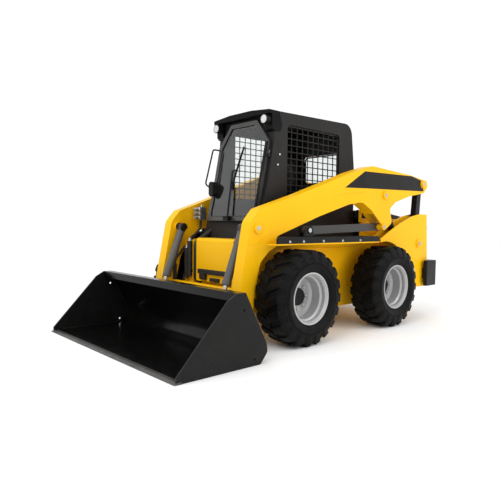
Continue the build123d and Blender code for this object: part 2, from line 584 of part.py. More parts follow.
with BuildPart() as cab_frame:
    with BuildSketch(side(-CAB_HALF)):
        add(outline(CAB_OUTLINE))
    extrude(amount=2 * CAB_HALF)
    with BuildSketch(side(-CAB_HALF + CAB_WALL)):
        offset(outline(CAB_OUTLINE), amount=-CAB_WALL, kind=Kind.INTERSECTION)
    extrude(amount=2 * (CAB_HALF - CAB_WALL), mode=Mode.SUBTRACT)
    # open below, over the operator's floor
    with Locations((0, FRONT_AXLE_Y + (CAB_REAR - 100) / 2, CAB_BOTTOM + CAB_WALL / 2)):
        Box(2 * (HULL_HALF - HULL_BOX), CAB_REAR + 60, CAB_WALL + 2, mode=Mode.SUBTRACT)
    # door opening
    with BuildSketch(front(130)):
        opening_half = DOOR_HALF - DOOR_SEAL
        opening_side = DOOR_CHAMFER[1] - DOOR_SEAL
        opening_top = DOOR_TOP - 2 * DOOR_SEAL
        add(outline([(-opening_half, DOOR_Z + 2 * DOOR_SEAL, 20),
                     (opening_half, DOOR_Z + 2 * DOOR_SEAL, 20),
                     (opening_half, opening_side, 20), (DOOR_CHAMFER[0], opening_top, 20),
                     (-DOOR_CHAMFER[0], opening_top, 20), (-opening_half, opening_side, 20)]))
    extrude(amount=400, mode=Mode.SUBTRACT)
    # side windows
    with BuildSketch(side(-CAB_HALF - 1)):
        with Locations(((WINDOW[0] + WINDOW[1]) / 2, (WINDOW[2] + WINDOW[3]) / 2)):
            RectangleRounded(WINDOW[1] - WINDOW[0], WINDOW[3] - WINDOW[2], 45)
    extrude(amount=2 * CAB_HALF + 2, mode=Mode.SUBTRACT)
    # rear window
    with BuildSketch(front(CAB_REAR + 40)):
        with Locations((0, (REAR_WINDOW[1] + REAR_WINDOW[2]) / 2)):
            RectangleRounded(2 * REAR_WINDOW[0], REAR_WINDOW[2] - REAR_WINDOW[1], 40)
    extrude(amount=140, mode=Mode.SUBTRACT)
    # fixed halves of the door's hinges, on the left pillar
    for point in (DOOR_HINGE_LOW, DOOR_HINGE_HIGH):
        with BuildSketch(hinge_plane(point, -KNUCKLE)):
            Circle(KNUCKLE_R)
            Polygon((-KNUCKLE_R, 0), (KNUCKLE_R, 0), (KNUCKLE_R, DOOR_HINGE_OUT + 6),
                    (-KNUCKLE_R, DOOR_HINGE_OUT + 6),
                    align=None)
        extrude(amount=KNUCKLE)
        with BuildSketch(hinge_plane(point, -KNUCKLE)):
            Circle(HINGE_PIN_R)
        extrude(amount=2 * KNUCKLE)
pieces["cab_frame"] = cab_frame.part

# Steel screens in the side windows: upright bars inside, level bars outside, both in a frame.
SCREEN_X = CAB_HALF - CAB_WALL + 6
SCREEN_BAR = 9.0
SCREEN_LAYER = 6.0
SCREEN_RING = 16.0
SCREEN_COLUMNS, SCREEN_ROWS = 9, 10
screen_long = WINDOW[1] - WINDOW[0] - 2 * FIT
screen_high = WINDOW[3] - WINDOW[2] - 2 * FIT
screen_centre = ((WINDOW[0] + WINDOW[1]) / 2, (WINDOW[2] + WINDOW[3]) / 2)
with BuildPart() as side_screens:
    with BuildSketch(side(SCREEN_X)):
        with Locations(screen_centre):
            RectangleRounded(screen_long, screen_high, 45 - FIT)
            Rectangle(screen_long - 2 * SCREEN_RING, screen_high - 2 * SCREEN_RING, mode=Mode.SUBTRACT)
    extrude(amount=2 * SCREEN_LAYER + EAR_GAP)
    with BuildSketch(side(SCREEN_X)):
        with Locations(screen_centre):
            with GridLocations(screen_long / (SCREEN_COLUMNS + 1), 1, SCREEN_COLUMNS, 1):
                Rectangle(SCREEN_BAR, screen_high - SCREEN_RING)
    extrude(amount=SCREEN_LAYER)
    with BuildSketch(side(SCREEN_X + SCREEN_LAYER + EAR_GAP)):
        with Locations(screen_centre):
            with GridLocations(1, screen_high / (SCREEN_ROWS + 1), 1, SCREEN_ROWS):
                Rectangle(screen_long - SCREEN_RING, SCREEN_BAR)
    extrude(amount=SCREEN_LAYER)
    mirror(about=Plane.YZ)
pieces["side_screens"] = side_screens.part

with BuildPart() as rear_window:
    with BuildSketch(front(CAB_REAR - 8)):
        with Locations((0, (REAR_WINDOW[1] + REAR_WINDOW[2]) / 2)):
            RectangleRounded(2 * (REAR_WINDOW[0] - FIT), REAR_WINDOW[2] - REAR_WINDOW[1] - 2 * FIT,
                             40 - FIT)
    extrude(amount=GLASS_T)
pieces["rear_window"] = rear_window.part

# Door: a frame that follows the cab's front, with chamfered upper corners.


def door_shape(inset):
    """Front view of the door, smaller all round by inset."""
    return outline([
        (-DOOR_HALF + inset, DOOR_Z + inset, 25), (DOOR_HALF - inset, DOOR_Z + inset, 25),
        (DOOR_HALF - inset, DOOR_CHAMFER[1] - inset * 0.4, 25),
        (DOOR_CHAMFER[0] - inset * 0.4, DOOR_TOP - inset, 25),
        (-DOOR_CHAMFER[0] + inset * 0.4, DOOR_TOP - inset, 25),
        (-DOOR_HALF + inset, DOOR_CHAMFER[1] - inset * 0.4, 25)])


def door_skin(forward, thick):
    """Side view of a sheet that follows the cab's front, forward of it."""
    back = [(b - forward, h, r) for b, h, r in FRONT_LINE]
    face = [(b - forward - thick, h, r) for b, h, r in reversed(FRONT_LINE)]
    back[0] = (back[0][0], back[0][1], 0)
    back[-1] = (back[-1][0], back[-1][1], 0)
    face[0] = (face[0][0], face[0][1], 0)
    face[-1] = (face[-1][0], face[-1][1], 0)
    return outline(back + face)


with BuildPart() as door_frame:
    with BuildSketch(side(-DOOR_HALF)):
        add(door_skin(DOOR_GAP, DOOR_T))
    extrude(amount=2 * DOOR_HALF)
    with BuildSketch(front(200)):
        add(door_shape(0))
    extrude(amount=600, mode=Mode.INTERSECT)
    with BuildSketch(front(200)):
        add(door_shape(DOOR_RAIL))
    extrude(amount=600, mode=Mode.SUBTRACT)
    for point in (DOOR_HINGE_LOW, DOOR_HINGE_HIGH):
        with BuildSketch(hinge_plane(point, FIT)):
            Circle(KNUCKLE_R)
            Polygon((DOOR_HALF - DOOR_HINGE_X - 12, -9), (0, -9), (0, 9),
                    (DOOR_HALF - DOOR_HINGE_X - 12, 9), align=None)
        extrude(amount=KNUCKLE)
        with BuildSketch(hinge_plane(point, 0)):
            Circle(HINGE_PIN_R + RUN)
        extrude(amount=2 * KNUCKLE, mode=Mode.SUBTRACT)
pieces["door_frame"] = door_frame.part

with BuildPart() as door_glass:
    with BuildSketch(side(-DOOR_HALF)):
        add(door_skin(DOOR_GAP + DOOR_T / 2 - GLASS_T / 2, GLASS_T))
    extrude(amount=2 * DOOR_HALF)
    with BuildSketch(front(200)):
        add(door_shape(DOOR_RAIL + FIT))
    extrude(amount=600, mode=Mode.INTERSECT)
pieces["door_glass"] = door_glass.part


def on_door(x, height, out):
    """Point in front of the door's outer face, at a height on it and a distance out of it."""
    return Vector(x, FRONT_AXLE_Y + cab_front(height) - DOOR_GAP - DOOR_T - out, height)


def strut(start, end, radius):
    """Round bar between two points."""
    with BuildPart(mode=Mode.PRIVATE) as made:
        with BuildSketch(Plane(origin=start, z_dir=end - start)):
            Circle(radius)
        extrude(amount=(end - start).length)
    return made.part


# Grab handle and latch on the door's free edge, hinge tube on the other, wiper on the glass.
HANDLE_R = 8.0
HANDLE_X = -400.0        # the grip's line, inside the tilt cylinder's inner face
LATCH_HALF = 35.0
LATCH_Z = (1320.0, 1470.0)
WIPER_X = -12.0
GLASS_IN = DOOR_T / 2 - GLASS_T / 2     # how far the glass lies back from the door's face
with BuildPart() as door_fittings:
    with BuildLine():
        FilletPolyline(on_door(-DOOR_HALF + 14, 1796, -10), on_door(HANDLE_X + 12, 1806, 60),
                       on_door(HANDLE_X, 1440, 80), on_door(-DOOR_HALF + 14, 1400, 10), radius=(22, 40))
    with BuildSketch(Plane(origin=on_door(-DOOR_HALF + 14, 1796, -10),
                           z_dir=on_door(HANDLE_X + 12, 1806, 60) - on_door(-DOOR_HALF + 14, 1796, -10))):
        Circle(HANDLE_R)
    sweep()
    with BuildSketch(front(60)):
        with Locations((-DOOR_HALF + LATCH_HALF, (LATCH_Z[0] + LATCH_Z[1]) / 2)):
            SlotOverall(LATCH_Z[1] - LATCH_Z[0], 2 * LATCH_HALF, rotation=90)
    extrude(amount=60 - cab_front(LATCH_Z[0]) + 72)
    with BuildSketch(front(0)):
        with Locations((WIPER_X, DOOR_Z + 24)):
            RectangleRounded(70, 42, 10)
    extrude(amount=46 - cab_front(DOOR_Z) + DOOR_GAP + DOOR_T)
    add(strut(on_door(DOOR_HALF - 17, 1195, 12), on_door(DOOR_HALF - 17, 1815, 12), 11))
    # all of it stands on the door's face
    with BuildSketch(side(-CAB_HALF)):
        add(door_skin(-200, DOOR_T + DOOR_GAP + 200 + FIT))
    extrude(amount=2 * CAB_HALF, mode=Mode.SUBTRACT)
    # twin-bar wiper arm and its blade
    for aside in (-7, 7):
        add(strut(on_door(WIPER_X + aside, DOOR_Z + 30, 26), on_door(-82 + aside, 1560, 8), 5))
    add(strut(on_door(-94, 1560, 8), on_door(-34, 1574, 4), 7))
    add(strut(on_door(-68, 1385, 7 - GLASS_IN), on_door(23, 1795, 7 - GLASS_IN), 6.5))
pieces["door_fittings"] = door_fittings.part

# Seat, its box and the consoles on each side.
with BuildPart() as seat_box:
    with BuildSketch(side(-320)):
        add(outline([(560, FLOOR_Z, 0), (530, 800, 40), (1180, 800, 10), (1180, FLOOR_Z, 0)]))
    extrude(amount=640)
pieces["seat_box"] = seat_box.part

with BuildPart() as seat:
    with BuildSketch(side(-235)):
        add(outline([(560, 800 + FIT, 15), (545, 900, 35), (955, 880, 60), (1075, 1480, 40),
                     (1165, 1460, 38),
                     (1095, 880, 60), (1070, 800 + FIT, 10)]))
    extrude(amount=470)
    fillet(seat.faces().sort_by(Axis.X)[0].edges() + seat.faces().sort_by(Axis.X)[-1].edges(), radius=9)
pieces["seat"] = seat.part

with BuildPart() as consoles:
    with BuildSketch(side(262)):
        add(outline([(470, 1010, 15), (450, 1060, 20), (820, 1090, 30), (860, 1000, 20),
                     (700, 800 + FIT, 0),
                     (600, 800 + FIT, 0)]))
    extrude(amount=80)
    with BuildSketch(level(1045)):
        with Locations((302, 520)):
            Circle(14)
    extrude(amount=120)
    with BuildSketch(level(1160)):
        with Locations((302, 520)):
            Circle(24)
    extrude(amount=95, taper=4)
    mirror(about=Plane.YZ)
pieces["consoles"] = consoles.part

# Visor across the roof's front, with a cheek round each upper corner of the cab that carries a lamp.
VISOR_FRONT = -10.0
# underside, top at the ends, top of the crown
VISOR_LOW, VISOR_SIDE, VISOR_HIGH = 2062.0, 2096.0, 2118.0
VISOR_CROWN = 160.0
CHEEK_IN = 312.0
CHEEK_T = 6.0
LAMP_X, LAMP_Z, LAMP_R = 350.0, 2012.0, 44.0
LAMP_BACK, LAMP_DEEP = 30.9, 58.0
with BuildPart() as roof_visor:
    visor_half = CAB_HALF + CHEEK_T
    with BuildSketch(front(130)):
        Polygon((-visor_half, VISOR_LOW), (visor_half, VISOR_LOW), (visor_half, VISOR_SIDE),
                (VISOR_CROWN, VISOR_HIGH),
                (-VISOR_CROWN, VISOR_HIGH), (-visor_half, VISOR_SIDE), align=None)
    extrude(amount=130 - VISOR_FRONT)
    for x in (-visor_half, CHEEK_IN):
        with BuildSketch(side(x)):
            add(outline([(LAMP_BACK + FIT, VISOR_LOW + 8, 0), (LAMP_BACK + FIT, 1930, 20), (60, 1905, 20),
                         (142, 1912, 20), (166, 1975, 20), (128, VISOR_LOW + 8, 0)]))
        extrude(amount=visor_half - CHEEK_IN)
    with BuildSketch(side(-CAB_HALF - FIT)):
        offset(outline(CAB_OUTLINE), amount=FIT)
    extrude(amount=2 * (CAB_HALF + FIT), mode=Mode.SUBTRACT)
pieces["roof_visor"] = roof_visor.part

# Lamps in front of the cheeks.
with BuildPart() as front_lamps:
    with BuildSketch(front(LAMP_BACK)):
        with Locations((LAMP_X, LAMP_Z)):
            Circle(LAMP_R)
    extrude(amount=LAMP_DEEP)
    with BuildSketch(front(LAMP_BACK - LAMP_DEEP + 4)):
        with Locations((LAMP_X, LAMP_Z)):
            Circle(LAMP_R - 6)
    extrude(amount=4, mode=Mode.SUBTRACT)
    mirror(about=Plane.YZ)
pieces["front_lamps"] = front_lamps.part

# ======== Arms ========
ARM_SIDE = [  # (behind, height, corner radius)
    (-612, 215, 60), (-566, 148, 50), (-440, 148, 60), (-410, 290, 100), (-383, 489, 200), (-330, 720, 120),
    (-237, 814, 50), (-161, 850, 15), (-161, 940, 50), (337, 1123, 0), (728, 1246, 200), (900, 1272, 120),
    (LINK_REAR[0] - 209, 1196, 60), (LINK_REAR[0] + 50, LINK_REAR[1] - 30, 30),
    (LINK_REAR[0] + 170, 1075, 40),
    (LINK_REAR[0] + 124, 1220, 40), (LINK_REAR[0] + 231, 1293, 60), (ARM_REAR_PIN[0] - 278, 1369, 200),
    (ARM_REAR_PIN[0] + 25, 1416, 40), (ARM_REAR_PIN[0] + 118, 1500, 46), (ARM_REAR_PIN[0] + 85, 1557, 30),
    (ARM_REAR_PIN[0] - 269, 1599, 0), (ARM_BOX_END - 60, 1640, 300), (760, 1554, 0),
    (91, 1314, 0), (-340, 1176, 60), (-440, 1065, 110),
]
ARM_PLAN = [  # (x, behind)
    (ARM_FRONT_IN, -700), (ARM_FRONT_OUT, -700), (ARM_FRONT_OUT, -350), (ARM_REAR_OUT, 950),
    (ARM_REAR_OUT, BUMPER_REAR), (ARM_REAR_IN, BUMPER_REAR), (ARM_REAR_IN, 950), (ARM_FRONT_IN, -350),
]
CHANNEL_SIDE = [  # the open channel: (behind, height)
    (ARM_BOX_END, 900), (ARM_BOX_END, 1605), (ARM_BOX_END + 270, 1605), (ARM_REAR_PIN[0] - 269, 1582),
    (ARM_ROOF_END, 1562), (ARM_ROOF_END, 1700), (BUMPER_REAR, 1700), (BUMPER_REAR, 900),
]
with BuildPart() as arm_left:
    with BuildSketch(side(ARM_FRONT_IN)):
        add(outline(ARM_SIDE))
    extrude(amount=ARM_REAR_OUT - ARM_FRONT_IN)
    with BuildSketch(level(0)):
        Polygon(*ARM_PLAN, align=None)
    extrude(amount=1800, mode=Mode.INTERSECT)
    with BuildSketch(side(ARM_REAR_IN + ARM_PLATE)):
        Polygon(*CHANNEL_SIDE, align=None)
    extrude(amount=ARM_REAR_OUT - ARM_REAR_IN - 2 * ARM_PLATE, mode=Mode.SUBTRACT)
    # seats inside the channel beside each eye: (pin, radius, eye's inner face, eye's outer face)
    for pin, seat_r, eye_in, eye_out in (
            (ARM_REAR_PIN, 40, LINK_IN, LINK_OUT),
            (LIFT_TOP, 40, LINK_IN, LINK_OUT),
            (LINK_REAR, 34, CONTROL_IN, CONTROL_OUT)):
        for begin, end in ((ARM_REAR_IN + ARM_PLATE, eye_in - EAR_GAP),
                           (eye_out + EAR_GAP, ARM_REAR_OUT - ARM_PLATE),
                           (ARM_REAR_OUT, ARM_REAR_OUT + 18)):
            with BuildSketch(side(begin)):
                with Locations(pin):
                    Circle(seat_r)
            extrude(amount=end - begin)
    with BuildSketch(side(ARM_REAR_IN)):
        with Locations(LINK_REAR):
            Circle(PIN_R)
    extrude(amount=ARM_REAR_OUT - ARM_REAR_IN)
    # stub pin, boss and collar for the tilt cylinder: (radius, from, to)
    for r, begin, end in ((42, TILT_X + 30 + EAR_GAP, ARM_FRONT_IN), (PIN_R, TILT_X - 34, ARM_FRONT_IN),
                          (32, TILT_X - 44, TILT_X - 30 - EAR_GAP),
                          (44, ARM_FRONT_OUT, ARM_FRONT_OUT + 16)):
        with BuildSketch(side(begin)):
            with Locations(TILT_TOP):
                Circle(r)
        extrude(amount=end - begin)
    # foot: wide boss with the hinge pin's bore
    with BuildSketch(side(ARM_FRONT_IN - 6)):
        with Locations(HINGE_PIN):
            Circle(54)
    extrude(amount=ARM_FRONT_OUT - ARM_FRONT_IN + 12)
    with BuildSketch(side(ARM_FRONT_IN - 20)):
        with Locations(HINGE_PIN):
            Circle(PIN_R + 3 + RUN)
    extrude(amount=ARM_FRONT_OUT - ARM_FRONT_IN + 40, mode=Mode.SUBTRACT)
pieces["arm_left"] = arm_left.part
pieces["arm_right"] = mirror(arm_left.part, about=Plane.YZ)

FRONT_TUBE = (-422.0, 428.0)     # centre of the front cross tube
FRONT_TUBE_SIZE = (60.0, 104.0)  # along, high
REAR_TUBE = (BAY_FRONT + 200.0, 1500.0)     # centre of the rear cross tube
with BuildPart() as arm_cross_tubes:
    with BuildSketch(side(-ARM_FRONT_IN)):
        with Locations(FRONT_TUBE):
            RectangleRounded(*FRONT_TUBE_SIZE, 14)
    extrude(amount=2 * ARM_FRONT_IN)
    with BuildSketch(side(-ARM_REAR_IN)):
        with Locations(REAR_TUBE):
            Circle(TUBE_R)
    extrude(amount=2 * ARM_REAR_IN)
pieces["arm_cross_tubes"] = arm_cross_tubes.part

# Quick couplers for attachments, on a block inside each arm.
COUPLER_BLOCK = (-130.0, -50.0, 1080.0, 1215.0)      # front, rear, bottom, top
PLUG_R, PLUG_LONG = 16.0, 64.0
with BuildPart() as aux_couplers:
    begin, end, bottom, top = COUPLER_BLOCK
    with BuildSketch(side(ARM_FRONT_IN - FIT - 56)):
        add(outline([(begin, bottom, 8), (begin, top, 8), (end, top, 8), (end, bottom, 8)]))
    extrude(amount=56)
    for z in (bottom + 26, (bottom + top) / 2, top - 26):
        with BuildSketch(front(begin + 1)):
            with Locations((ARM_FRONT_IN - 30, z)):
                Circle(PLUG_R)
        extrude(amount=PLUG_LONG)
        with BuildSketch(front(begin - 26)):
            with Locations((ARM_FRONT_IN - 30, z)):
                Circle(PLUG_R + 4)
        extrude(amount=18)
    with BuildSketch(level(top - 1)):
        with Locations((ARM_FRONT_IN - 30, (begin + end) / 2)):
            Circle(PLUG_R - 3)
    extrude(amount=26)
    mirror(about=Plane.YZ)
pieces["aux_couplers"] = aux_couplers.part


def hose(points, radius, radii):
    """Round hose along straight runs joined by arcs, through points (x, behind, height)."""
    route = [Vector(x, FRONT_AXLE_Y + behind, z) for x, behind, z in points]
    with BuildPart(mode=Mode.PRIVATE) as made:
        with BuildLine():
            FilletPolyline(*route, radius=radii)
        with BuildSketch(Plane(origin=route[0], z_dir=route[1] - route[0])):
            Circle(radius)
        sweep()
    return made.part


# Hoses from the coupler blocks down inside each arm, gathered in a sleeve above the cross tube.
ARM_HOSE_R = 12.0
SLEEVE_R = 20.0
ARM_HOSE_X = ARM_FRONT_IN - FIT - SLEEVE_R
with BuildPart() as arm_hoses:
    foot = (ARM_HOSE_X, FRONT_TUBE[0] + 8, FRONT_TUBE[1] + FRONT_TUBE_SIZE[1] / 2 + FIT)
    gather = (ARM_HOSE_X, foot[1], 680)
    add(hose([(ARM_HOSE_X, -96, COUPLER_BLOCK[2] - FIT), (ARM_HOSE_X, -96, 1000),
              (ARM_HOSE_X, -327, 774), gather, foot],
             ARM_HOSE_R, (50, 90, 90)))
    add(strut(Vector(ARM_HOSE_X, FRONT_AXLE_Y + foot[1], foot[2] + 4),
              Vector(ARM_HOSE_X, FRONT_AXLE_Y + foot[1], gather[2] - 40), SLEEVE_R))
    mirror(about=Plane.YZ)
pieces["arm_hoses"] = arm_hoses.part

# Hoses that leave the hull beside the front panel, and the black tray at the panel's foot.
HULL_SLEEVE_R = 28.0
HULL_SLEEVE_X = -(FRONT_PANEL_HALF + 8 + HULL_SLEEVE_R)
HULL_HOSE_X = -385.0
TRAY = ((-225.0, 205.0, 562.0, 606.0, 26.0), (-190.0, -105.0, 506.0, 570.0, 32.0),
        (-40.0, 90.0, 496.0, 530.0, 24.0))
with BuildPart() as hull_hoses:
    sleeve_behind = FRONT_PANEL_Y + HULL_SLEEVE_R + 2
    toe_plate = HULL_FRONT + 60 - FIT
    add(hose([(HULL_SLEEVE_X, toe_plate, 478), (HULL_SLEEVE_X, sleeve_behind, 478),
              (HULL_SLEEVE_X, sleeve_behind, 860),
              (HULL_SLEEVE_X, cab_front(985) + 60, 1000)], HULL_SLEEVE_R, [42, 70]))
    add(hose([(HULL_HOSE_X, HULL_FRONT - 14, 560), (HULL_HOSE_X, HULL_FRONT - 14, 905),
              (HULL_HOSE_X, -235, 955),
              (HULL_HOSE_X, -60, 965)], 11, [50, 60]))
    with Locations((HULL_HOSE_X, FRONT_AXLE_Y + HULL_FRONT - FIT - 14, 575)):
        Box(36, 28, 26)
    # they end on the cab's front
    with BuildSketch(side(-CAB_HALF - FIT)):
        offset(outline(CAB_OUTLINE), amount=FIT)
    extrude(amount=2 * (CAB_HALF + FIT), mode=Mode.SUBTRACT)
    # (from, to, bottom, top, out from the panel) of the tray, the clamp that it carries and the block below
    for begin, end, bottom, top, out in TRAY:
        with BuildSketch(side(begin)):
            add(outline([(FRONT_PANEL_Y - FIT, bottom, 0), (FRONT_PANEL_Y - FIT, top, 0),
                         (FRONT_PANEL_Y - out, top, 6), (FRONT_PANEL_Y - out, bottom, 6)]))
        extrude(amount=end - begin)
pieces["hull_hoses"] = hull_hoses.part

# ======== Links ========
with BuildPart() as control_links:
    with BuildSketch(side(CONTROL_IN)):
        add(bar(LINK_FRONT, LINK_REAR, 38, 38))
        with Locations(LINK_FRONT, LINK_REAR):
            Circle(PIN_R + RUN, mode=Mode.SUBTRACT)
    extrude(amount=CONTROL_OUT - CONTROL_IN)
    mirror(about=Plane.YZ)
pieces["control_links"] = control_links.part

with BuildPart() as rear_links:
    with BuildSketch(side(LINK_IN)):
        add(bar(TOWER_PIN, ARM_REAR_PIN, 46, 38))
        with Locations(TOWER_PIN, ARM_REAR_PIN):
            Circle(PIN_R + RUN, mode=Mode.SUBTRACT)
    extrude(amount=LINK_OUT - LINK_IN)
    mirror(about=Plane.YZ)
pieces["rear_links"] = rear_links.part

# ======== Cylinders ========
# (name, x, base pin, rod pin, barrel radius, bore radius, rod radius, eye width, barrel length, eye radius,
#  distance of the piston from the base pin at rest)
CYLINDERS = [
    ("lift", (LINK_IN + LINK_OUT) / 2, LIFT_BASE, LIFT_TOP, LIFT_BARREL_R, LIFT_BORE_R, LIFT_ROD_R,
     LINK_OUT - LINK_IN, 865.0, 38.0, 78.0),
    ("tilt", TILT_X, TILT_TOP, TILT_FOOT, TILT_BARREL_R, TILT_BORE_R, TILT_ROD_R, TILT_EYE_W, 520.0, 34.0,
     150.0),
]
for name, x, base, tip, barrel_r, bore_r, rod_r, eye_w, barrel_long, eye_r, piston_at in CYLINDERS:
    base_w = eye_w if name == "lift" else 60.0
    across = rod_plane(x, base, tip)
    reach = hypot(tip[0] - base[0], tip[1] - base[1])
    with BuildPart() as barrel:
        with BuildSketch(across.offset(eye_r + 16)):
            Circle(barrel_r)
        extrude(amount=barrel_long - eye_r - 16)
        with BuildSketch(across.offset(barrel_long - 36)):
            Circle(barrel_r + 5)
        extrude(amount=36)
        with BuildSketch(side(x - base_w / 2)):
            add(bar(base, along(base, tip, eye_r), eye_r + 4, barrel_r - 8))
        extrude(amount=base_w)
        with BuildSketch(across.offset(eye_r + 22)):
            Circle(bore_r)
        extrude(amount=barrel_long - eye_r - 22 - 20, mode=Mode.SUBTRACT)
        with BuildSketch(across.offset(barrel_long - 30)):
            Circle(rod_r + RUN)
        extrude(amount=40, mode=Mode.SUBTRACT)
        with BuildSketch(side(x - base_w / 2 - 1)):
            with Locations(base):
                Circle(PIN_R + RUN)
        extrude(amount=base_w + 2, mode=Mode.SUBTRACT)
        mirror(about=Plane.YZ)
    pieces[f"{name}_barrels"] = barrel.part
    with BuildPart() as rod:
        with BuildSketch(across.offset(piston_at)):
            Circle(rod_r)
        extrude(amount=reach - piston_at - eye_r + 8)
        with BuildSketch(across.offset(piston_at)):
            Circle(bore_r - RUN)
        extrude(amount=30)
        with BuildSketch(side(x - eye_w / 2)):
            with Locations(tip):
                Circle(eye_r)
        extrude(amount=eye_w)
        with BuildSketch(side(x - eye_w / 2 - 1)):
            with Locations(tip):
                Circle(PIN_R)
        extrude(amount=eye_w + 2, mode=Mode.SUBTRACT)
        mirror(about=Plane.YZ)
    pieces[f"{name}_rods"] = rod.part

# ======== Coupler and bucket ========
back_long = hypot(BACK_HIGH[0] - BACK_LOW[0], BACK_HIGH[1] - BACK_LOW[1])
back_way = ((BACK_HIGH[0] - BACK_LOW[0]) / back_long, (BACK_HIGH[1] - BACK_LOW[1]) / back_long)
back_out = (back_way[1], -back_way[0])      # rearward normal of the bucket's back


def on_back(up, out):
    """Point at a distance up the bucket's back and a distance out behind it."""
    return (BACK_LOW[0] + back_way[0] * up + back_out[0] * out,
            BACK_LOW[1] + back_way[1] * up + back_out[1] * out)


COUPLER_HALF = 668.0
COUPLER_HIGH = 430.0
with BuildPart() as coupler:
    with BuildSketch(side(-COUPLER_HALF)):
        Polygon(on_back(0, 0), on_back(COUPLER_HIGH, 0), on_back(COUPLER_HIGH, COUPLER_T),
                on_back(0, COUPLER_T),
                align=None)
    extrude(amount=2 * COUPLER_HALF)
    # ears: (pin, x of the first face, foot from, foot to, boss radius)
    for pin, x, low, high, boss in (
            (HINGE_PIN, ARM_FRONT_IN - 6 - EAR_GAP - EAR_T, 0, 260, 48),
            (HINGE_PIN, ARM_FRONT_OUT + 6 + EAR_GAP, 0, 260, 48),
            (TILT_FOOT, TILT_X - TILT_EYE_W / 2 - EAR_GAP - EAR_T, 60, 250, 42),
            (TILT_FOOT, TILT_X + TILT_EYE_W / 2 + EAR_GAP, 60, 250, 42)):
        with BuildSketch(side(x)):
            with Locations(pin):
                Circle(boss)
            with Locations(on_back(low + 8, COUPLER_T - 8), on_back(high - 8, COUPLER_T - 8)):
                Circle(8)
            make_hull()
        extrude(amount=EAR_T)
    with BuildSketch(side(ARM_FRONT_IN - 34)):
        with Locations(HINGE_PIN):
            Circle(PIN_R + 3)
    extrude(amount=ARM_FRONT_OUT - ARM_FRONT_IN + 68)
    mirror(about=Plane.YZ)
pieces["coupler"] = coupler.part

shell_rows = [
    (EDGE_BACK, BUCKET_Z, 0), (-692, BUCKET_Z, 25), (-621, 84, 30), (BACK_LOW[0], BACK_LOW[1], 40),
    (BACK_HIGH[0], BACK_HIGH[1], 0), (-925, 552, 6), (-925, 486, 6),
]
lip_back = on_back(375, -SHELL_T)
inner_low = on_back(-150, -SHELL_T)
with BuildPart() as bucket:
    with BuildSketch(side(-BUCKET_HALF + SIDE_T)):
        add(outline(shell_rows + [(lip_back[0], 486, 0), (inner_low[0], BUCKET_Z + SHELL_T, 130),
                                  (EDGE_BACK, BUCKET_Z + SHELL_T, 0)]))
    extrude(amount=2 * (BUCKET_HALF - SIDE_T))
pieces["bucket"] = bucket.part

with BuildPart() as bucket_sides:
    for x in (-BUCKET_HALF, BUCKET_HALF - SIDE_T):
        with BuildSketch(side(x)):
            add(outline([
                (EDGE_BACK, BUCKET_Z, 0), (-692, BUCKET_Z, 25), (-621, 84, 30),
                (BACK_LOW[0], BACK_LOW[1], 40),
                (BACK_HIGH[0], BACK_HIGH[1], 0), (-925, 552, 20), (-1008, 506, 30), (-1440, 44, 0),
                (-1440, BUCKET_Z + SHELL_T, 0), (EDGE_BACK, BUCKET_Z + SHELL_T, 0)]))
            with Locations((-857, 426), (-753, 48)):
                Circle(11, mode=Mode.SUBTRACT)
        extrude(amount=SIDE_T)
pieces["bucket_sides"] = bucket_sides.part

with BuildPart() as cutting_edge:
    with BuildSketch(side(-BUCKET_HALF - 3)):
        Polygon((EDGE_TIP, BUCKET_Z), (EDGE_BACK, BUCKET_Z), (EDGE_BACK, BUCKET_Z + SHELL_T),
                (EDGE_TIP + 26, BUCKET_Z + SHELL_T), (EDGE_TIP, BUCKET_Z + 5), align=None)
    extrude(amount=2 * (BUCKET_HALF + 3))
pieces["cutting_edge"] = cutting_edge.part

# ======== Write ========
os.makedirs("parts", exist_ok=True)
for name, piece in pieces.items():
    piece.label = name
    export_step(piece, f"parts/{name}.step")
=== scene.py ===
import json
from math import cos, pi, radians, sin

import bpy
from mathutils import Matrix, Vector


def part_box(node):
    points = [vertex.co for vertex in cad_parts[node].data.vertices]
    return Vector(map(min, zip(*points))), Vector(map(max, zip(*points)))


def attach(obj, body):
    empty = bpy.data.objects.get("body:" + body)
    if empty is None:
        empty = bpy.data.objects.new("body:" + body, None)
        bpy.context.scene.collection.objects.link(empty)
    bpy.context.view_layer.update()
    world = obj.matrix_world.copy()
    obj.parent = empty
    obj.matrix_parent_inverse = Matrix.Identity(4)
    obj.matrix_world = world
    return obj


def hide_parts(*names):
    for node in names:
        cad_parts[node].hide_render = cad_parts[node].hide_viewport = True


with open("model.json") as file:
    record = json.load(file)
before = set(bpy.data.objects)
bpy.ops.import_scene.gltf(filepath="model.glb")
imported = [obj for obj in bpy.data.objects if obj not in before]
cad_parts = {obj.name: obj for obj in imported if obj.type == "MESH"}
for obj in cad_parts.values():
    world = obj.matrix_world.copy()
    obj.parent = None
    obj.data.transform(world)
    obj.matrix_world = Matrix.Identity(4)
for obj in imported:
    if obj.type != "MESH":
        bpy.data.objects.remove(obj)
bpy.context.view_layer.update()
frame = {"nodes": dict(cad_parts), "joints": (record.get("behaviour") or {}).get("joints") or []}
nodes = frame["nodes"]

# ==== Studio ====
# A plain white floor under an even white sky, with one large soft lamp high in front
# and another off the machine's left, so that shadows stay soft and the sides read.
bpy.context.scene.view_settings.view_transform = "Standard"
world = bpy.data.worlds.new("studio_sky")
bpy.context.scene.world = world
world.use_nodes = True
sky = world.node_tree.nodes["Background"]
sky.inputs["Color"].default_value = (1.0, 1.0, 1.0, 1.0)
sky.inputs["Strength"].default_value = 1.04

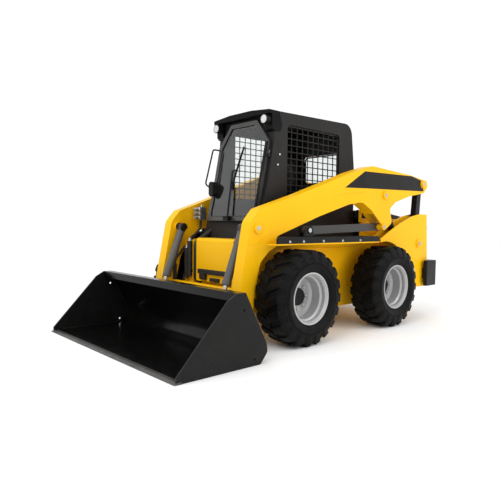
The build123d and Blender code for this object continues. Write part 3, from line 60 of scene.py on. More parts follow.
bpy.ops.object.select_all(action="DESELECT")
bpy.ops.mesh.primitive_plane_add(size=80.0, location=(0.0, 0.0, 0.0))
floor = bpy.context.object
floor.name = "floor"
floor_paint = bpy.data.materials.new("floor_white")
floor_paint.use_nodes = True
floor_shader = floor_paint.node_tree.nodes["Principled BSDF"]
floor_shader.inputs["Base Color"].default_value = (0.97, 0.97, 0.97, 1.0)
floor_shader.inputs["Roughness"].default_value = 0.7
floor_shader.inputs["Specular IOR Level"].default_value = 0.0
floor.data.materials.append(floor_paint)

# (name, place, point it faces, side, power)
for name, place, aim, side, power in (
        ("key_lamp", (1.5, -6.0, 7.0), (0.0, -0.3, 0.8), 4.5, 210.0),
        ("side_lamp", (7.0, 3.5, 4.0), (0.0, 0.4, 0.9), 4.0, 120.0)):
    lamp = bpy.data.lights.new(name, "AREA")
    lamp.size = side
    lamp.energy = power
    lamp_object = bpy.data.objects.new(name, lamp)
    bpy.context.collection.objects.link(lamp_object)
    lamp_object.location = place
    lamp_object.rotation_mode = "QUATERNION"
    lamp_object.rotation_quaternion = (Vector(aim) - Vector(place)).to_track_quat("-Z", "Y")

# ==== Camera ====
# Stands off the machine's front left corner, about a metre above the floor, looking
# slightly down, with a lens about as long as the sensor is wide.
CAMERA_PLACE = Vector((3.684, -3.632, 1.048))
turn, dip, roll = radians(47.72), radians(3.03), radians(0.61)
ahead = Vector((-sin(turn) * cos(dip), cos(turn) * cos(dip), -sin(dip)))
level_right = ahead.cross(Vector((0.0, 0.0, 1.0))).normalized()
level_up = level_right.cross(ahead)
right = level_right * cos(roll) + level_up * sin(roll)
up = level_up * cos(roll) - level_right * sin(roll)
camera = bpy.data.cameras.new("camera")
camera.sensor_width = 36.0
camera.lens = 35.7
camera_object = bpy.data.objects.new("camera", camera)
bpy.context.collection.objects.link(camera_object)
facing = Matrix((right, up, -ahead)).transposed().to_4x4()
camera_object.matrix_world = Matrix.Translation(CAMERA_PLACE) @ facing
bpy.context.scene.camera = camera_object

# ==== Yellow steelwork ====
# The hull, uprights, front panel and fenders are welded from steel plate and sprayed
# with thick yellow enamel: a faint orange peel, soft edges, and a little drift of tone.


def socket(group, name, kind, value=None, out=False):
    way = "OUTPUT" if out else "INPUT"
    made = group.interface.new_socket(name=name, in_out=way, socket_type=kind)
    if value is not None:
        made.default_value = value


def blank_group(name, inputs, outputs):
    group = bpy.data.node_groups.new(name, "ShaderNodeTree")
    for title, kind, value in inputs:
        socket(group, title, kind, value)
    for title, kind in outputs:
        socket(group, title, kind, out=True)
    return group, group.nodes.new("NodeGroupInput"), group.nodes.new("NodeGroupOutput")


def node(tree, kind, **settings):
    made = tree.nodes.new(kind)
    for title, value in settings.items():
        setattr(made, title, value)
    return made


def feed(tree, target, value):
    """Sets an input to a constant, or links another node's output to it."""
    if isinstance(value, (int, float, tuple)):
        target.default_value = value
    else:
        tree.links.new(value, target)


def maths(tree, operation, first, second, clamp=False):
    made = node(tree, "ShaderNodeMath", operation=operation, use_clamp=clamp)
    feed(tree, made.inputs[0], first)
    feed(tree, made.inputs[1], second)
    return made.outputs[0]


def noise(tree, scale, detail, vector, roughness=0.5):
    made = node(tree, "ShaderNodeTexNoise")
    feed(tree, made.inputs["Scale"], scale)
    feed(tree, made.inputs["Detail"], detail)
    feed(tree, made.inputs["Roughness"], roughness)
    feed(tree, made.inputs["Vector"], vector)
    return made.outputs["Fac"]


def spread(tree, value, low, high, to_low, to_high):
    """Maps the range from low to high onto another, and holds what lies beyond it."""
    made = node(tree, "ShaderNodeMapRange")
    made.inputs["From Min"].default_value = low
    made.inputs["From Max"].default_value = high
    made.inputs["To Min"].default_value = to_low
    made.inputs["To Max"].default_value = to_high
    tree.links.new(value, made.inputs["Value"])
    return made.outputs["Result"]


def mixed(tree, factor, first, second):
    """A blend of two colours. The numbers are the mix node's colour inputs and output."""
    made = node(tree, "ShaderNodeMix", data_type="RGBA")
    for value, number in ((factor, 0), (first, 6), (second, 7)):
        feed(tree, made.inputs[number], value)
    return made.outputs[2]


# Edge wear and painted highlight: where two faces meet within a few millimetres, the colour turns to a
# lighter edge colour, partly wear and partly a painted highlight along the edge; and the normal is
# rounded there.
edge_wear_highlight_group, edge_in, edge_out = blank_group(
    "edge_wear_and_highlight",
    (("Reach", "NodeSocketFloat", 0.004), ("Break up", "NodeSocketFloat", 60.0)),
    (("Wear and highlight", "NodeSocketFloat"), ("Normal", "NodeSocketVector")))
rounded = node(edge_wear_highlight_group, "ShaderNodeBevel", samples=4)
edge_wear_highlight_group.links.new(edge_in.outputs["Reach"], rounded.inputs["Radius"])
flat = node(edge_wear_highlight_group, "ShaderNodeNewGeometry")
across = node(edge_wear_highlight_group, "ShaderNodeVectorMath", operation="DOT_PRODUCT")
edge_wear_highlight_group.links.new(rounded.outputs["Normal"], across.inputs[0])
edge_wear_highlight_group.links.new(flat.outputs["Normal"], across.inputs[1])
edge_place = node(edge_wear_highlight_group, "ShaderNodeTexCoord")
ragged = noise(edge_wear_highlight_group, edge_in.outputs["Break up"], 4.0, edge_place.outputs["Object"])
near_edge = spread(edge_wear_highlight_group, across.outputs["Value"], 0.995, 0.90, 0.0, 1.0)
ragged = spread(edge_wear_highlight_group, ragged, 0.42, 0.62, 0.0, 1.0)
edge_wear_highlight_group.links.new(maths(edge_wear_highlight_group, "MULTIPLY", near_edge, ragged), edge_out.inputs["Wear and highlight"])
edge_wear_highlight_group.links.new(rounded.outputs["Normal"], edge_out.inputs["Normal"])

# Sprayed skin: slow drift of tone, fine speckle in the gloss and a pebbled height.
skin_group, skin_in, skin_out = blank_group(
    "sprayed_skin",
    (("Pebble", "NodeSocketFloat", 300.0), ("Gloss low", "NodeSocketFloat", 0.3),
     ("Gloss high", "NodeSocketFloat", 0.4)),
    (("Tone", "NodeSocketFloat"), ("Roughness", "NodeSocketFloat"), ("Height", "NodeSocketFloat")))
skin_place = node(skin_group, "ShaderNodeTexCoord")
drift = noise(skin_group, 1.7, 3.0, skin_place.outputs["Object"])
smear = noise(skin_group, 9.0, 5.0, skin_place.outputs["Object"], 0.6)
pebbles = noise(skin_group, skin_in.outputs["Pebble"], 2.0, skin_place.outputs["Object"])
skin_group.links.new(drift, skin_out.inputs["Tone"])
gloss_span = maths(skin_group, "SUBTRACT", skin_in.outputs["Gloss high"], skin_in.outputs["Gloss low"])
gloss = maths(skin_group, "MULTIPLY", spread(skin_group, smear, 0.35, 0.65, 0.0, 1.0), gloss_span)
gloss = maths(skin_group, "ADD", gloss, skin_in.outputs["Gloss low"])
skin_group.links.new(gloss, skin_out.inputs["Roughness"])
skin_group.links.new(pebbles, skin_out.inputs["Height"])

# Dust: a thin pale film that gathers low down and in patches.
dust_group, dust_in, dust_out = blank_group(
    "floor_dust",
    (("Top", "NodeSocketFloat", 0.5),),
    (("Film", "NodeSocketFloat"),))
dust_place = node(dust_group, "ShaderNodeTexCoord")
dust_split = node(dust_group, "ShaderNodeSeparateXYZ")
dust_group.links.new(dust_place.outputs["Object"], dust_split.inputs[0])
share = maths(dust_group, "DIVIDE", dust_split.outputs["Z"], dust_in.outputs["Top"])
share = spread(dust_group, share, 0.0, 1.0, 1.0, 0.0)
patches = noise(dust_group, 14.0, 6.0, dust_place.outputs["Object"], 0.65)
patches = spread(dust_group, patches, 0.4, 0.75, 0.0, 1.0)
dust_group.links.new(maths(dust_group, "MULTIPLY", share, patches, clamp=True), dust_out.inputs["Film"])

DUST = (0.30, 0.27, 0.23, 1.0)


def coat(name, light, dark, worn, wear_and_highlight, gloss, pebble, depth,
         metal=0.0, clear=0.0, dust=0.15, reach=0.004, shine=0.5):
    """A sprayed, cast or moulded finish. Its tone drifts from dark to light, and its edges
    turn to the edge colour over a reach in metres, as strongly as the edge amount says: partly
    wear and partly a painted highlight along the edge. Gloss is the range of its roughness,
    pebble and depth the grain's scale and height."""
    made = bpy.data.materials.new(name)
    made.use_nodes = True
    tree = made.node_tree
    shader = tree.nodes["Principled BSDF"]
    skin = node(tree, "ShaderNodeGroup", node_tree=skin_group)
    skin.inputs["Pebble"].default_value = pebble
    skin.inputs["Gloss low"].default_value = gloss[0]
    skin.inputs["Gloss high"].default_value = gloss[1]
    edge = node(tree, "ShaderNodeGroup", node_tree=edge_wear_highlight_group)
    edge.inputs["Reach"].default_value = reach
    film = node(tree, "ShaderNodeGroup", node_tree=dust_group)
    tone = spread(tree, skin.outputs["Tone"], 0.3, 0.7, 0.0, 1.0)
    color = mixed(tree, tone, (*dark, 1.0), (*light, 1.0))
    # Edges turn to the edge colour: partly wear, partly a painted highlight.
    color = mixed(tree, maths(tree, "MULTIPLY", edge.outputs["Wear and highlight"], wear_and_highlight), color, (*worn, 1.0))
    color = mixed(tree, maths(tree, "MULTIPLY", film.outputs["Film"], dust), color, DUST)
    tree.links.new(color, shader.inputs["Base Color"])
    tree.links.new(skin.outputs["Roughness"], shader.inputs["Roughness"])
    shader.inputs["Metallic"].default_value = metal
    shader.inputs["Coat Weight"].default_value = clear
    shader.inputs["Coat Roughness"].default_value = 0.12
    shader.inputs["Specular IOR Level"].default_value = shine
    bump = node(tree, "ShaderNodeBump")
    bump.inputs["Strength"].default_value = 0.35
    bump.inputs["Distance"].default_value = depth
    tree.links.new(skin.outputs["Height"], bump.inputs["Height"])
    tree.links.new(edge.outputs["Normal"], bump.inputs["Normal"])
    tree.links.new(bump.outputs["Normal"], shader.inputs["Normal"])
    return made


def paint(finish, *names):
    for title in names:
        nodes[title].data.materials.clear()
        nodes[title].data.materials.append(finish)


# The enamel is new: the lighter yellow along its edges is a painted highlight.
yellow = coat(
    "yellow_enamel", light=(0.96, 0.525, 0.004), dark=(0.91, 0.48, 0.003),
    worn=(1.0, 0.66, 0.10), wear_and_highlight=0.35, gloss=(0.30, 0.42), pebble=240.0, depth=0.0006, clear=0.03,
    dust=0.03, shine=0.12)
paint(yellow, "main_frame", "upright_plates", "front_panel", "fenders", "rear_uprights")


# ==== Tyres ====
# Wide pneumatic rubber tyres moulded with two rows of angled bar lugs that meet in a
# broken V, with raised rings on the sidewalls. They are seated on the rims by their beads.


def only(*pieces):
    bpy.ops.object.select_all(action="DESELECT")
    for piece in pieces:
        piece.select_set(True)
    bpy.context.view_layer.objects.active = pieces[0]


def edit_all(piece):
    only(piece)
    bpy.ops.object.mode_set(mode="EDIT")
    bpy.ops.mesh.select_all(action="SELECT")


def rest(piece, angle=35.0):
    """Back to object mode with the place in the mesh and soft shading below the angle."""
    if piece.mode == "EDIT":
        bpy.ops.object.mode_set(mode="OBJECT")
    only(piece)
    bpy.ops.object.transform_apply(location=True, rotation=True, scale=True)
    bpy.ops.object.shade_smooth_by_angle(angle=radians(angle))
    return piece


def twin_of(piece):
    """A second piece like the first, with a mesh of its own."""
    made = piece.copy()
    made.data = piece.data.copy()
    bpy.context.collection.objects.link(made)
    return made


def centre_of(node_name):
    low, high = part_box(node_name)
    return (low + high) / 2


def clean():
    """Merges doubles and turns the faces outwards, in edit mode."""
    bpy.ops.mesh.select_all(action="SELECT")
    bpy.ops.mesh.remove_doubles(threshold=0.00002)
    bpy.ops.mesh.normals_make_consistent(inside=False)


def turned(name, outline, centre, axis="X", steps=48, angle=35.0):
    """A closed outline of (along, radius) points, spun about the axis through the centre."""
    bpy.ops.object.select_all(action="DESELECT")
    bpy.ops.mesh.primitive_circle_add(vertices=len(outline), radius=0.1, fill_type="NOTHING")
    piece = bpy.context.object
    piece.name = name
    for vertex, (along, radius) in zip(piece.data.vertices, outline):
        vertex.co = (along, 0.0, radius)
    edit_all(piece)
    bpy.ops.mesh.spin(steps=steps, angle=2 * pi, center=(0, 0, 0), axis=(1, 0, 0))
    clean()
    bpy.ops.object.mode_set(mode="OBJECT")
    piece.data.transform({"X": Matrix.Identity(4), "Y": Matrix.Rotation(pi / 2, 4, "Z"),
                          "Z": Matrix.Rotation(-pi / 2, 4, "Y")}[axis])
    piece.data.transform(Matrix.Translation(centre))
    return rest(piece, angle)


def bevelled(piece, width, segments=2, angle=30.0):
    only(piece)
    modifier = piece.modifiers.new("edges", "BEVEL")
    modifier.width = width
    modifier.segments = segments
    modifier.angle_limit = radians(angle)
    modifier.harden_normals = False
    bpy.ops.object.modifier_apply(modifier=modifier.name)
    return piece


def copies(name, piece, places):
    """One joined piece of a copy at each place. The first piece is used up."""
    made = [twin_of(piece) for _ in places]
    for twin, place in zip(made, places):
        twin.data.transform(place)
    bpy.data.objects.remove(piece)
    return joined(name, *made)


def joined(name, *pieces):
    only(*pieces)
    if len(pieces) > 1:
        bpy.ops.object.join()
    whole = bpy.context.object
    whole.name = name
    return whole


def dressed(piece, finish, body):
    """Gives the piece its finish and the body it moves with."""
    piece.data.materials.clear()
    piece.data.materials.append(finish)
    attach(piece, body)
    return piece


tyre_low, tyre_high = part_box("tyre_fl")
TYRE_R = (tyre_high.z - tyre_low.z) / 2
TYRE_HALF = (tyre_high.x - tyre_low.x) / 2
SHOULDER_WIDE = 0.031
TREAD_HALF = TYRE_HALF - SHOULDER_WIDE
LUG_DEEP = 0.017
LUGS = 20
LUG_WIDE = 0.072
BEAD_R = 0.2264
SEAT_R = 0.2100
half_pitch = pi / LUGS
lug_reach = TYRE_R * sin(half_pitch)
lug_slope = (2 * lug_reach - LUG_WIDE) / TREAD_HALF

side_profile = [  # (from the tyre's middle, radius), from the bead up the side to the tread
    (TYRE_HALF - 0.027, SEAT_R), (TYRE_HALF - 0.027, BEAD_R - 0.003), (TYRE_HALF - 0.022, BEAD_R + 0.004),
    (TYRE_HALF - 0.013, 0.246), (TYRE_HALF - 0.005, 0.268), (TYRE_HALF - 0.001, 0.289),
    (TYRE_HALF - 0.0005, 0.298), (TYRE_HALF - 0.0060, 0.3005), (TYRE_HALF - 0.0060, 0.3050),
    (TYRE_HALF - 0.001, 0.3075), (TYRE_HALF - 0.0015, 0.314), (TYRE_HALF - 0.006, 0.3165),
    (TYRE_HALF - 0.007, 0.328), (TYRE_HALF - 0.010, 0.340), (TYRE_HALF - 0.0155, 0.343),
    (TYRE_HALF - 0.0160, 0.348), (TYRE_HALF - 0.0125, 0.351), (TYRE_HALF - 0.020, 0.372),
    (TREAD_HALF - 0.001, 0.389), (TREAD_HALF - 0.012, TYRE_R - LUG_DEEP - 0.001),
    (TREAD_HALF - 0.050, TYRE_R - LUG_DEEP)]
far_profile = [(-x, radius) for x, radius in reversed(side_profile)]
carcass = turned("carcass", side_profile + far_profile, (0, 0, 0), steps=80)

# One lug: a grid bent round the tread and over the shoulder, pulled down into a bar whose
# foot is sunk in the carcass and is wider than its top.
FOOT_DEEP, FOOT_SPREAD = 0.026, 0.012
FOOT_IN, FOOT_END = 0.010, 0.003    # the foot's shift at the sidewall and at the inner end
SIDE_SLOPE = 0.25
LUG_TOP = [  # (from the tyre's middle, radius), along the bar
    (0.004, TYRE_R), (0.040, TYRE_R), (0.080, TYRE_R), (0.112, TYRE_R), (0.126, TYRE_R - 0.001),
    (TREAD_HALF + 0.004, TYRE_R - 0.007), (TREAD_HALF + 0.011, TYRE_R - 0.028),
    (TREAD_HALF + 0.019, TYRE_R - 0.058), (TYRE_HALF - 0.003, TYRE_R - 0.092)]
bpy.ops.object.select_all(action="DESELECT")
bpy.ops.mesh.primitive_grid_add(x_subdivisions=len(LUG_TOP) - 1, y_subdivisions=3, size=1.0)
lug = bpy.context.object
edit_all(lug)
bpy.ops.mesh.extrude_region_move(TRANSFORM_OT_translate={"value": (0, 0, -1)})
bpy.ops.object.mode_set(mode="OBJECT")
columns = sorted({round(v.co.x, 4) for v in lug.data.vertices})
for vertex in lug.data.vertices:
    x, radius = LUG_TOP[columns.index(round(vertex.co.x, 4))]
    sunk = vertex.co.z < -0.5
    width = LUG_WIDE + (FOOT_SPREAD if sunk else 0.0)
    tangent = lug_slope * min(x, TREAD_HALF) - lug_reach + LUG_WIDE / 2 + vertex.co.y * width
    if x > TREAD_HALF:
        tangent += (x - TREAD_HALF) * SIDE_SLOPE
    shift = 0.0
    if sunk:
        radius -= FOOT_DEEP
        if x > TREAD_HALF:
            shift = FOOT_IN
        elif x == LUG_TOP[0][0]:
            shift = FOOT_END
    angle = tangent / TYRE_R
    vertex.co = (x - shift, radius * sin(angle), radius * cos(angle))
edit_all(lug)
clean()
bpy.ops.object.mode_set(mode="OBJECT")
bevelled(lug, 0.0045, 2, 40.0)
places = [Matrix.Rotation(2 * half_pitch * n, 4, "X") for n in range(LUGS)]
flip = Matrix.Rotation(half_pitch, 4, "X") @ Matrix.Scale(-1.0, 4, (1, 0, 0))
row_in = copies("row", lug, places)
row_out = twin_of(row_in)
row_out.data.transform(flip)
edit_all(row_out)
clean()
bpy.ops.object.mode_set(mode="OBJECT")
tyre = rest(joined("tyre", carcass, row_in, row_out), 32.0)

rubber = coat(
    "tyre_rubber", light=(0.0042, 0.0042, 0.0043), dark=(0.0026, 0.0026, 0.0027),
    worn=(0.016, 0.016, 0.015), wear_and_highlight=0.5, gloss=(0.42, 0.56), pebble=420.0, depth=0.0010, dust=0.03,
    reach=0.005, shine=0.08)
WHEELS = ("fl", "fr", "rl", "rr")
for wheel in WHEELS:
    centre = centre_of(f"tyre_{wheel}")
    shown = twin_of(tyre)
    shown.name = f"lugged_tyre_{wheel}"
    if centre.x < 0:
        shown.data.transform(Matrix.Scale(-1.0, 4, (1, 0, 0)))
        shown.data.flip_normals()
    shown.data.transform(Matrix.Translation(centre))
    dressed(shown, rubber, f"wheel_{wheel}")
    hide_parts(f"tyre_{wheel}")
bpy.data.objects.remove(tyre)

# ==== Rims and hubs ====
# Pressed steel discs welded into rolled rims, sprayed pale grey. Eight zinc plated nuts
# hold each disc to the hub, whose end is closed by a black moulded cap.
rim_paint = coat(
    "rim_grey", light=(0.50, 0.50, 0.50), dark=(0.39, 0.39, 0.395),
    worn=(0.66, 0.66, 0.66), wear_and_highlight=0.4, gloss=(0.30, 0.45), pebble=90.0, depth=0.0012, metal=0.35,
    dust=0.12)
black_plastic = coat(
    "black_moulding", light=(0.008, 0.008, 0.0085), dark=(0.005, 0.005, 0.0055),
    worn=(0.06, 0.06, 0.06), wear_and_highlight=0.3, gloss=(0.38, 0.50), pebble=520.0, depth=0.0005, dust=0.04,
    reach=0.002, shine=0.15)
zinc = coat(
    "zinc_plate", light=(0.62, 0.62, 0.60), dark=(0.48, 0.48, 0.47),
    worn=(0.8, 0.8, 0.8), wear_and_highlight=0.3, gloss=(0.24, 0.38), pebble=400.0, depth=0.0003, metal=0.9,
    dust=0.05, reach=0.0015)
paint(rim_paint, *(f"rim_{wheel}" for wheel in WHEELS))
DISC_X = 0.765    # the disc's outer face, from the machine's middle
NUT_CIRCLE = 0.112
NUTS = 8
NUT_ACROSS, NUT_TALL, STUD_R = 0.030, 0.020, 0.0085


def hexagon(radius, tall, edge):
    """A six-sided block with bevelled edges, standing on X = 0 along +X."""
    bpy.ops.object.select_all(action="DESELECT")
    bpy.ops.mesh.primitive_cylinder_add(vertices=6, radius=radius, depth=tall,
                                        location=(tall / 2, 0, 0), rotation=(0, pi / 2, 0))
    return bevelled(rest(bpy.context.object), edge, 1)


def nut(across, tall, stud):
    """A hexagon nut with a washer face and the stud's end."""
    head = hexagon(across / 2 / cos(pi / 6), tall, across * 0.05)
    washer = turned("washer", [(0, across * 0.30), (0, across * 0.68), (across * 0.10, across * 0.68),
                               (across * 0.12, across * 0.30)], (0, 0, 0), steps=16)
    end = turned("stud", [(0, 0), (0, stud), (tall + stud * 0.5, stud), (tall + stud * 0.8, stud * 0.75),
                          (tall + stud * 0.8, 0)], (0, 0, 0), steps=12)
    return joined("nut", head, washer, end)


for wheel in WHEELS:
    centre = centre_of(f"tyre_{wheel}")
    to_wheel = Matrix.Translation((0, centre.y, centre.z))
    if centre.x < 0:
        to_wheel = to_wheel @ Matrix.Rotation(pi, 4, "Z")
    to_nut = Matrix.Translation((DISC_X, 0, NUT_CIRCLE))
    ring = [to_wheel @ Matrix.Rotation(2 * pi * n / NUTS, 4, "X") @ to_nut for n in range(NUTS)]
    nuts = copies(f"wheel_nuts_{wheel}", nut(NUT_ACROSS, NUT_TALL, STUD_R), ring)
    dressed(rest(nuts), zinc, f"wheel_{wheel}")
    cap = turned(f"hub_cap_{wheel}", [
        (DISC_X + out, radius) for out, radius in (
            (0.001, 0.0), (0.001, 0.079), (0.005, 0.0795), (0.007, 0.0765), (0.026, 0.0755),
            (0.0305, 0.072), (0.032, 0.064), (0.0305, 0.060), (0.0305, 0.022), (0.034, 0.018),
            (0.034, 0.0))], (0, 0, 0), steps=48)
    cap.data.transform(to_wheel)
    dressed(rest(cap), black_plastic, f"wheel_{wheel}")

# ==== Axle tubes, rails and brackets ====
# The axle tubes are steel castings bolted to the hull. The step rails, link brackets and
# rear bumper are folded and welded from plate. All are sprayed with black enamel.
black_enamel = coat(
    "black_enamel", light=(0.010, 0.010, 0.0105), dark=(0.0065, 0.0065, 0.007),
    worn=(0.06, 0.06, 0.06), wear_and_highlight=0.3, gloss=(0.28, 0.42), pebble=300.0, depth=0.0006, clear=0.02,
    dust=0.05, shine=0.15)
paint(black_enamel, "axle_stubs", "step_rails", "link_brackets", "rear_bumper")

# ==== Hull fasteners and lamps ====
# Silver pin ends show in the bosses of both uprights. Flanged screws hold the axle tubes
# and the black step rails, which carry grip bars. Each upright has a round red rear lamp.
NEAR = 0.045    # how near a vertex is to a pin's centre to count as its boss


def face_at(node_name, y, z):
    """How far out a node's mesh comes near a place on its side."""
    return max(abs(v.co.x) for v in nodes[node_name].data.vertices
               if abs(v.co.y - y) < NEAR and abs(v.co.z - z) < NEAR)


def outward(x, y, z):
    """Turns a piece that stands on X = 0 along +X to point away from the machine's middle."""
    place = Matrix.Translation((x, y, z))
    return place if x > 0 else place @ Matrix.Rotation(pi, 4, "Z")


def both_sides(places):
    """A turned and mirrored place on each side for every (x, y, z)."""
    return [outward(x * side, y, z) for x, y, z in places for side in (1, -1)]


def pin_end(radius):
    """The turned end of a hinge pin: chamfered, with a centre hole for the grease nipple."""
    return turned("pin_end", [
        (-0.0005, 0), (-0.0005, radius), (0.0025, radius), (0.0040, radius - 0.0015),
        (0.0040, radius * 0.42), (0.0026, radius * 0.36), (0.0026, radius * 0.17),
        (0.0075, radius * 0.13), (0.0075, 0)], (0, 0, 0), steps=32)


def screw(radius, tall):
    """A flanged hexagon screw head."""
    head = hexagon(radius, tall, radius * 0.12)
    flange = turned("flange", [
        (0, 0), (0, radius * 1.45), (tall * 0.18, radius * 1.4), (tall * 0.32, radius * 0.9),
        (tall * 0.32, 0)], (0, 0, 0), steps=16)
    return joined("screw", head, flange)


PIN_R = 0.022
joint_at = {joint["name"]: joint["pos_m"] for joint in frame["joints"] if "pos_m" in joint}
UPRIGHT_PINS = (joint_at["rear_link_swing"], joint_at["lift_cylinder_swing"])
upright_pins = copies("upright_pin_ends", pin_end(PIN_R), both_sides(
    [(face_at("rear_uprights", y, z), y, z) for _, y, z in UPRIGHT_PINS]))
dressed(rest(upright_pins), zinc, "chassis")

rail_low, rail_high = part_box("step_rails")
RAIL_SCREWS = (-0.55, -0.374, -0.104, 0.179, 0.46)
SCREW_TALL = 0.008
rail_screws = copies("rail_screws", screw(0.0085, SCREW_TALL), both_sides(
    [(rail_high.x - 0.001, y, rail_low.z + 0.016) for y in RAIL_SCREWS]))
dressed(rest(rail_screws), zinc, "chassis")

FLANGE_FACE, FLANGE_CIRCLE, FLANGE_SCREWS = 0.520, 0.080, 8    # the face's x, a radius
axles = [centre_of(f"tyre_{wheel}") for wheel in ("fl", "rl")]
flange_turns = [2 * pi * (n + 0.5) / FLANGE_SCREWS for n in range(FLANGE_SCREWS)]
axle_screws = copies("axle_screws", screw(0.009, SCREW_TALL), both_sides(
    [(FLANGE_FACE - 0.0005, axle.y + FLANGE_CIRCLE * cos(turn), axle.z + FLANGE_CIRCLE * sin(turn))
     for axle in axles for turn in flange_turns]))
dressed(rest(axle_screws), zinc, "chassis")


def block(size, place=(0, 0, 0), lean=0.0):
    """A plain box, leaning about X."""
    bpy.ops.object.select_all(action="DESELECT")
    bpy.ops.mesh.primitive_cube_add(size=1.0, location=place, scale=size, rotation=(lean, 0, 0))
    return rest(bpy.context.object)


GRIP_SIZE = (0.085, 0.010, 0.005)
GRIP_PITCH, FIRST_GRIP, BARE_ENDS = 0.030, 0.10, 0.30
GRIP_IN = 0.062    # from the rail's outer edge to the bar's middle
grip = bevelled(block(GRIP_SIZE), 0.0022, 2)
grip_count = int((rail_high.y - rail_low.y - BARE_ENDS) / GRIP_PITCH)
grip_x, grip_z = rail_high.x - GRIP_IN, rail_high.z + 0.0015
grips = copies("rail_grips", grip, [
    Matrix.Translation((side * grip_x, rail_low.y + FIRST_GRIP + n * GRIP_PITCH, grip_z))
    for n in range(grip_count) for side in (1, -1)])
dressed(rest(grips), black_enamel, "chassis")

red_lens = coat(
    "red_lens", light=(0.42, 0.006, 0.005), dark=(0.30, 0.004, 0.004),
    worn=(0.50, 0.02, 0.02), wear_and_highlight=0.1, gloss=(0.12, 0.20), pebble=900.0, depth=0.0008, clear=0.1,
    dust=0.03, shine=0.3)
TAIL_LAMP_X, TAIL_LAMP_Z = 0.733, 1.02
upright_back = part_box("rear_uprights")[1].y
lamps, rings = [], []
for side in (1, -1):
    place = (side * TAIL_LAMP_X, upright_back, TAIL_LAMP_Z)
    rings.append(turned("ring", [
        (-0.001, 0), (-0.001, 0.046), (0.010, 0.046), (0.013, 0.043), (0.013, 0.037),
        (0.007, 0.036), (0.007, 0)], place, "Y", 40))
    lamps.append(turned("lens", [
        (0.006, 0), (0.006, 0.036), (0.010, 0.036), (0.0125, 0.031), (0.0125, 0.029),
        (0.0140, 0.028), (0.0145, 0.018), (0.0135, 0.016), (0.0150, 0.014), (0.0152, 0)],
        place, "Y", 40))
dressed(joined("tail_lamp_rings", *rings), black_plastic, "chassis")
dressed(joined("tail_lamp_lenses", *lamps), red_lens, "chassis")

# ==== Engine, hood and rear door ====
# The engine is a plain casting, with a finned radiator behind it. The hood and the rear
# door are pressed covers, powder coated charcoal, with grilles of leaning slats.
cast_iron = coat(
    "cast_iron", light=(0.075, 0.075, 0.078), dark=(0.045, 0.045, 0.047),
    worn=(0.20, 0.19, 0.18), wear_and_highlight=0.4, gloss=(0.55, 0.75), pebble=160.0, depth=0.003, metal=0.4,
    dust=0.2)
charcoal = coat(
    "charcoal_powder", light=(0.0150, 0.0140, 0.0135), dark=(0.0115, 0.0107, 0.0103),
    worn=(0.055, 0.053, 0.052), wear_and_highlight=0.35, gloss=(0.38, 0.50), pebble=520.0, depth=0.0007,
    dust=0.03, shine=0.16)
paint(cast_iron, "engine_block")
paint(charcoal, "hood", "rear_door")
SLAT_THICK = 0.003


def slats(name, low, high, count, axis, lean):
    """A row of slats between two corners, along an axis: thin strips that lean about X."""
    low, high = Vector(low), Vector(high)
    size = high - low
    slat_size = size.copy()
    slat_size[axis] = SLAT_THICK
    slat = bevelled(block(slat_size, lean=lean), 0.001, 1)
    middle = (low + high) / 2
    places = []
    for n in range(count):
        spot = middle.copy()
        spot[axis] = low[axis] + size[axis] * (n + 0.5) / count
        places.append(Matrix.Translation(spot))
    return copies(name, slat, places)


VENT_HALF = 0.30
door_low, door_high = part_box("rear_door")
rear_grille = slats("rear_door_grille", (-VENT_HALF, door_high.y - 0.007, door_low.z + 0.11),
                    (VENT_HALF, door_high.y + 0.009, door_high.z - 0.10), 10, 2, radians(-38))
dressed(rest(rear_grille), charcoal, "rear_door")

RADIATOR_LOW, RADIATOR_HIGH = Vector((-0.42, 1.558, 0.725)), Vector((0.42, 1.594, 1.128))
FINS = 60
core = bevelled(block(RADIATOR_HIGH - RADIATOR_LOW, (RADIATOR_LOW + RADIATOR_HIGH) / 2), 0.006, 2)
fins = slats("fins", (RADIATOR_LOW.x + 0.03, RADIATOR_HIGH.y - 0.002, RADIATOR_LOW.z + 0.02),
             (RADIATOR_HIGH.x - 0.03, RADIATOR_HIGH.y + 0.008, RADIATOR_HIGH.z - 0.02), FINS, 0, 0.0)
dressed(rest(joined("radiator", core, fins)), cast_iron, "chassis")

HOOD_VENT = (0, 1.475, 1.1815)
HOOD_PITCH = radians(7.23)
hood_slats = slats("hood_grille", (-0.21, -0.16, -0.004), (0.21, 0.16, 0.010), 11, 1, radians(-62))
hood_slats.data.transform(Matrix.Translation(HOOD_VENT) @ Matrix.Rotation(-HOOD_PITCH, 4, "X"))
dressed(rest(hood_slats), charcoal, "hood")

# ==== Cab ====
# A welded cab of folded sheet and tube, powder coated charcoal, with punched side
# screens, a black moulded visor, a rear window in a rubber channel and domed screws.
paint(charcoal, "cab_frame", "side_screens")
visor_black = coat(
    "visor_black", light=(0.0040, 0.0040, 0.0042), dark=(0.0025, 0.0025, 0.0027),
    worn=(0.04, 0.04, 0.04), wear_and_highlight=0.3, gloss=(0.40, 0.52), pebble=520.0, depth=0.0005, dust=0.01,
    reach=0.002, shine=0.08)
paint(visor_black, "roof_visor")
glass = bpy.data.materials.new("window_glass")
glass.use_nodes = True
glass_shader = glass.node_tree.nodes["Principled BSDF"]
glass_place = node(glass.node_tree, "ShaderNodeTexCoord")
glass_haze = noise(glass.node_tree, 5.0, 5.0, glass_place.outputs["Object"], 0.6)
glass_tint = mixed(glass.node_tree, spread(glass.node_tree, glass_haze, 0.35, 0.7, 0.0, 1.0),
                   (0.80, 0.84, 0.83, 1.0), (0.88, 0.91, 0.90, 1.0))
glass.node_tree.links.new(glass_tint, glass_shader.inputs["Base Color"])
glass_shader.inputs["Roughness"].default_value = 0.03
glass_shader.inputs["Transmission Weight"].default_value = 1.0
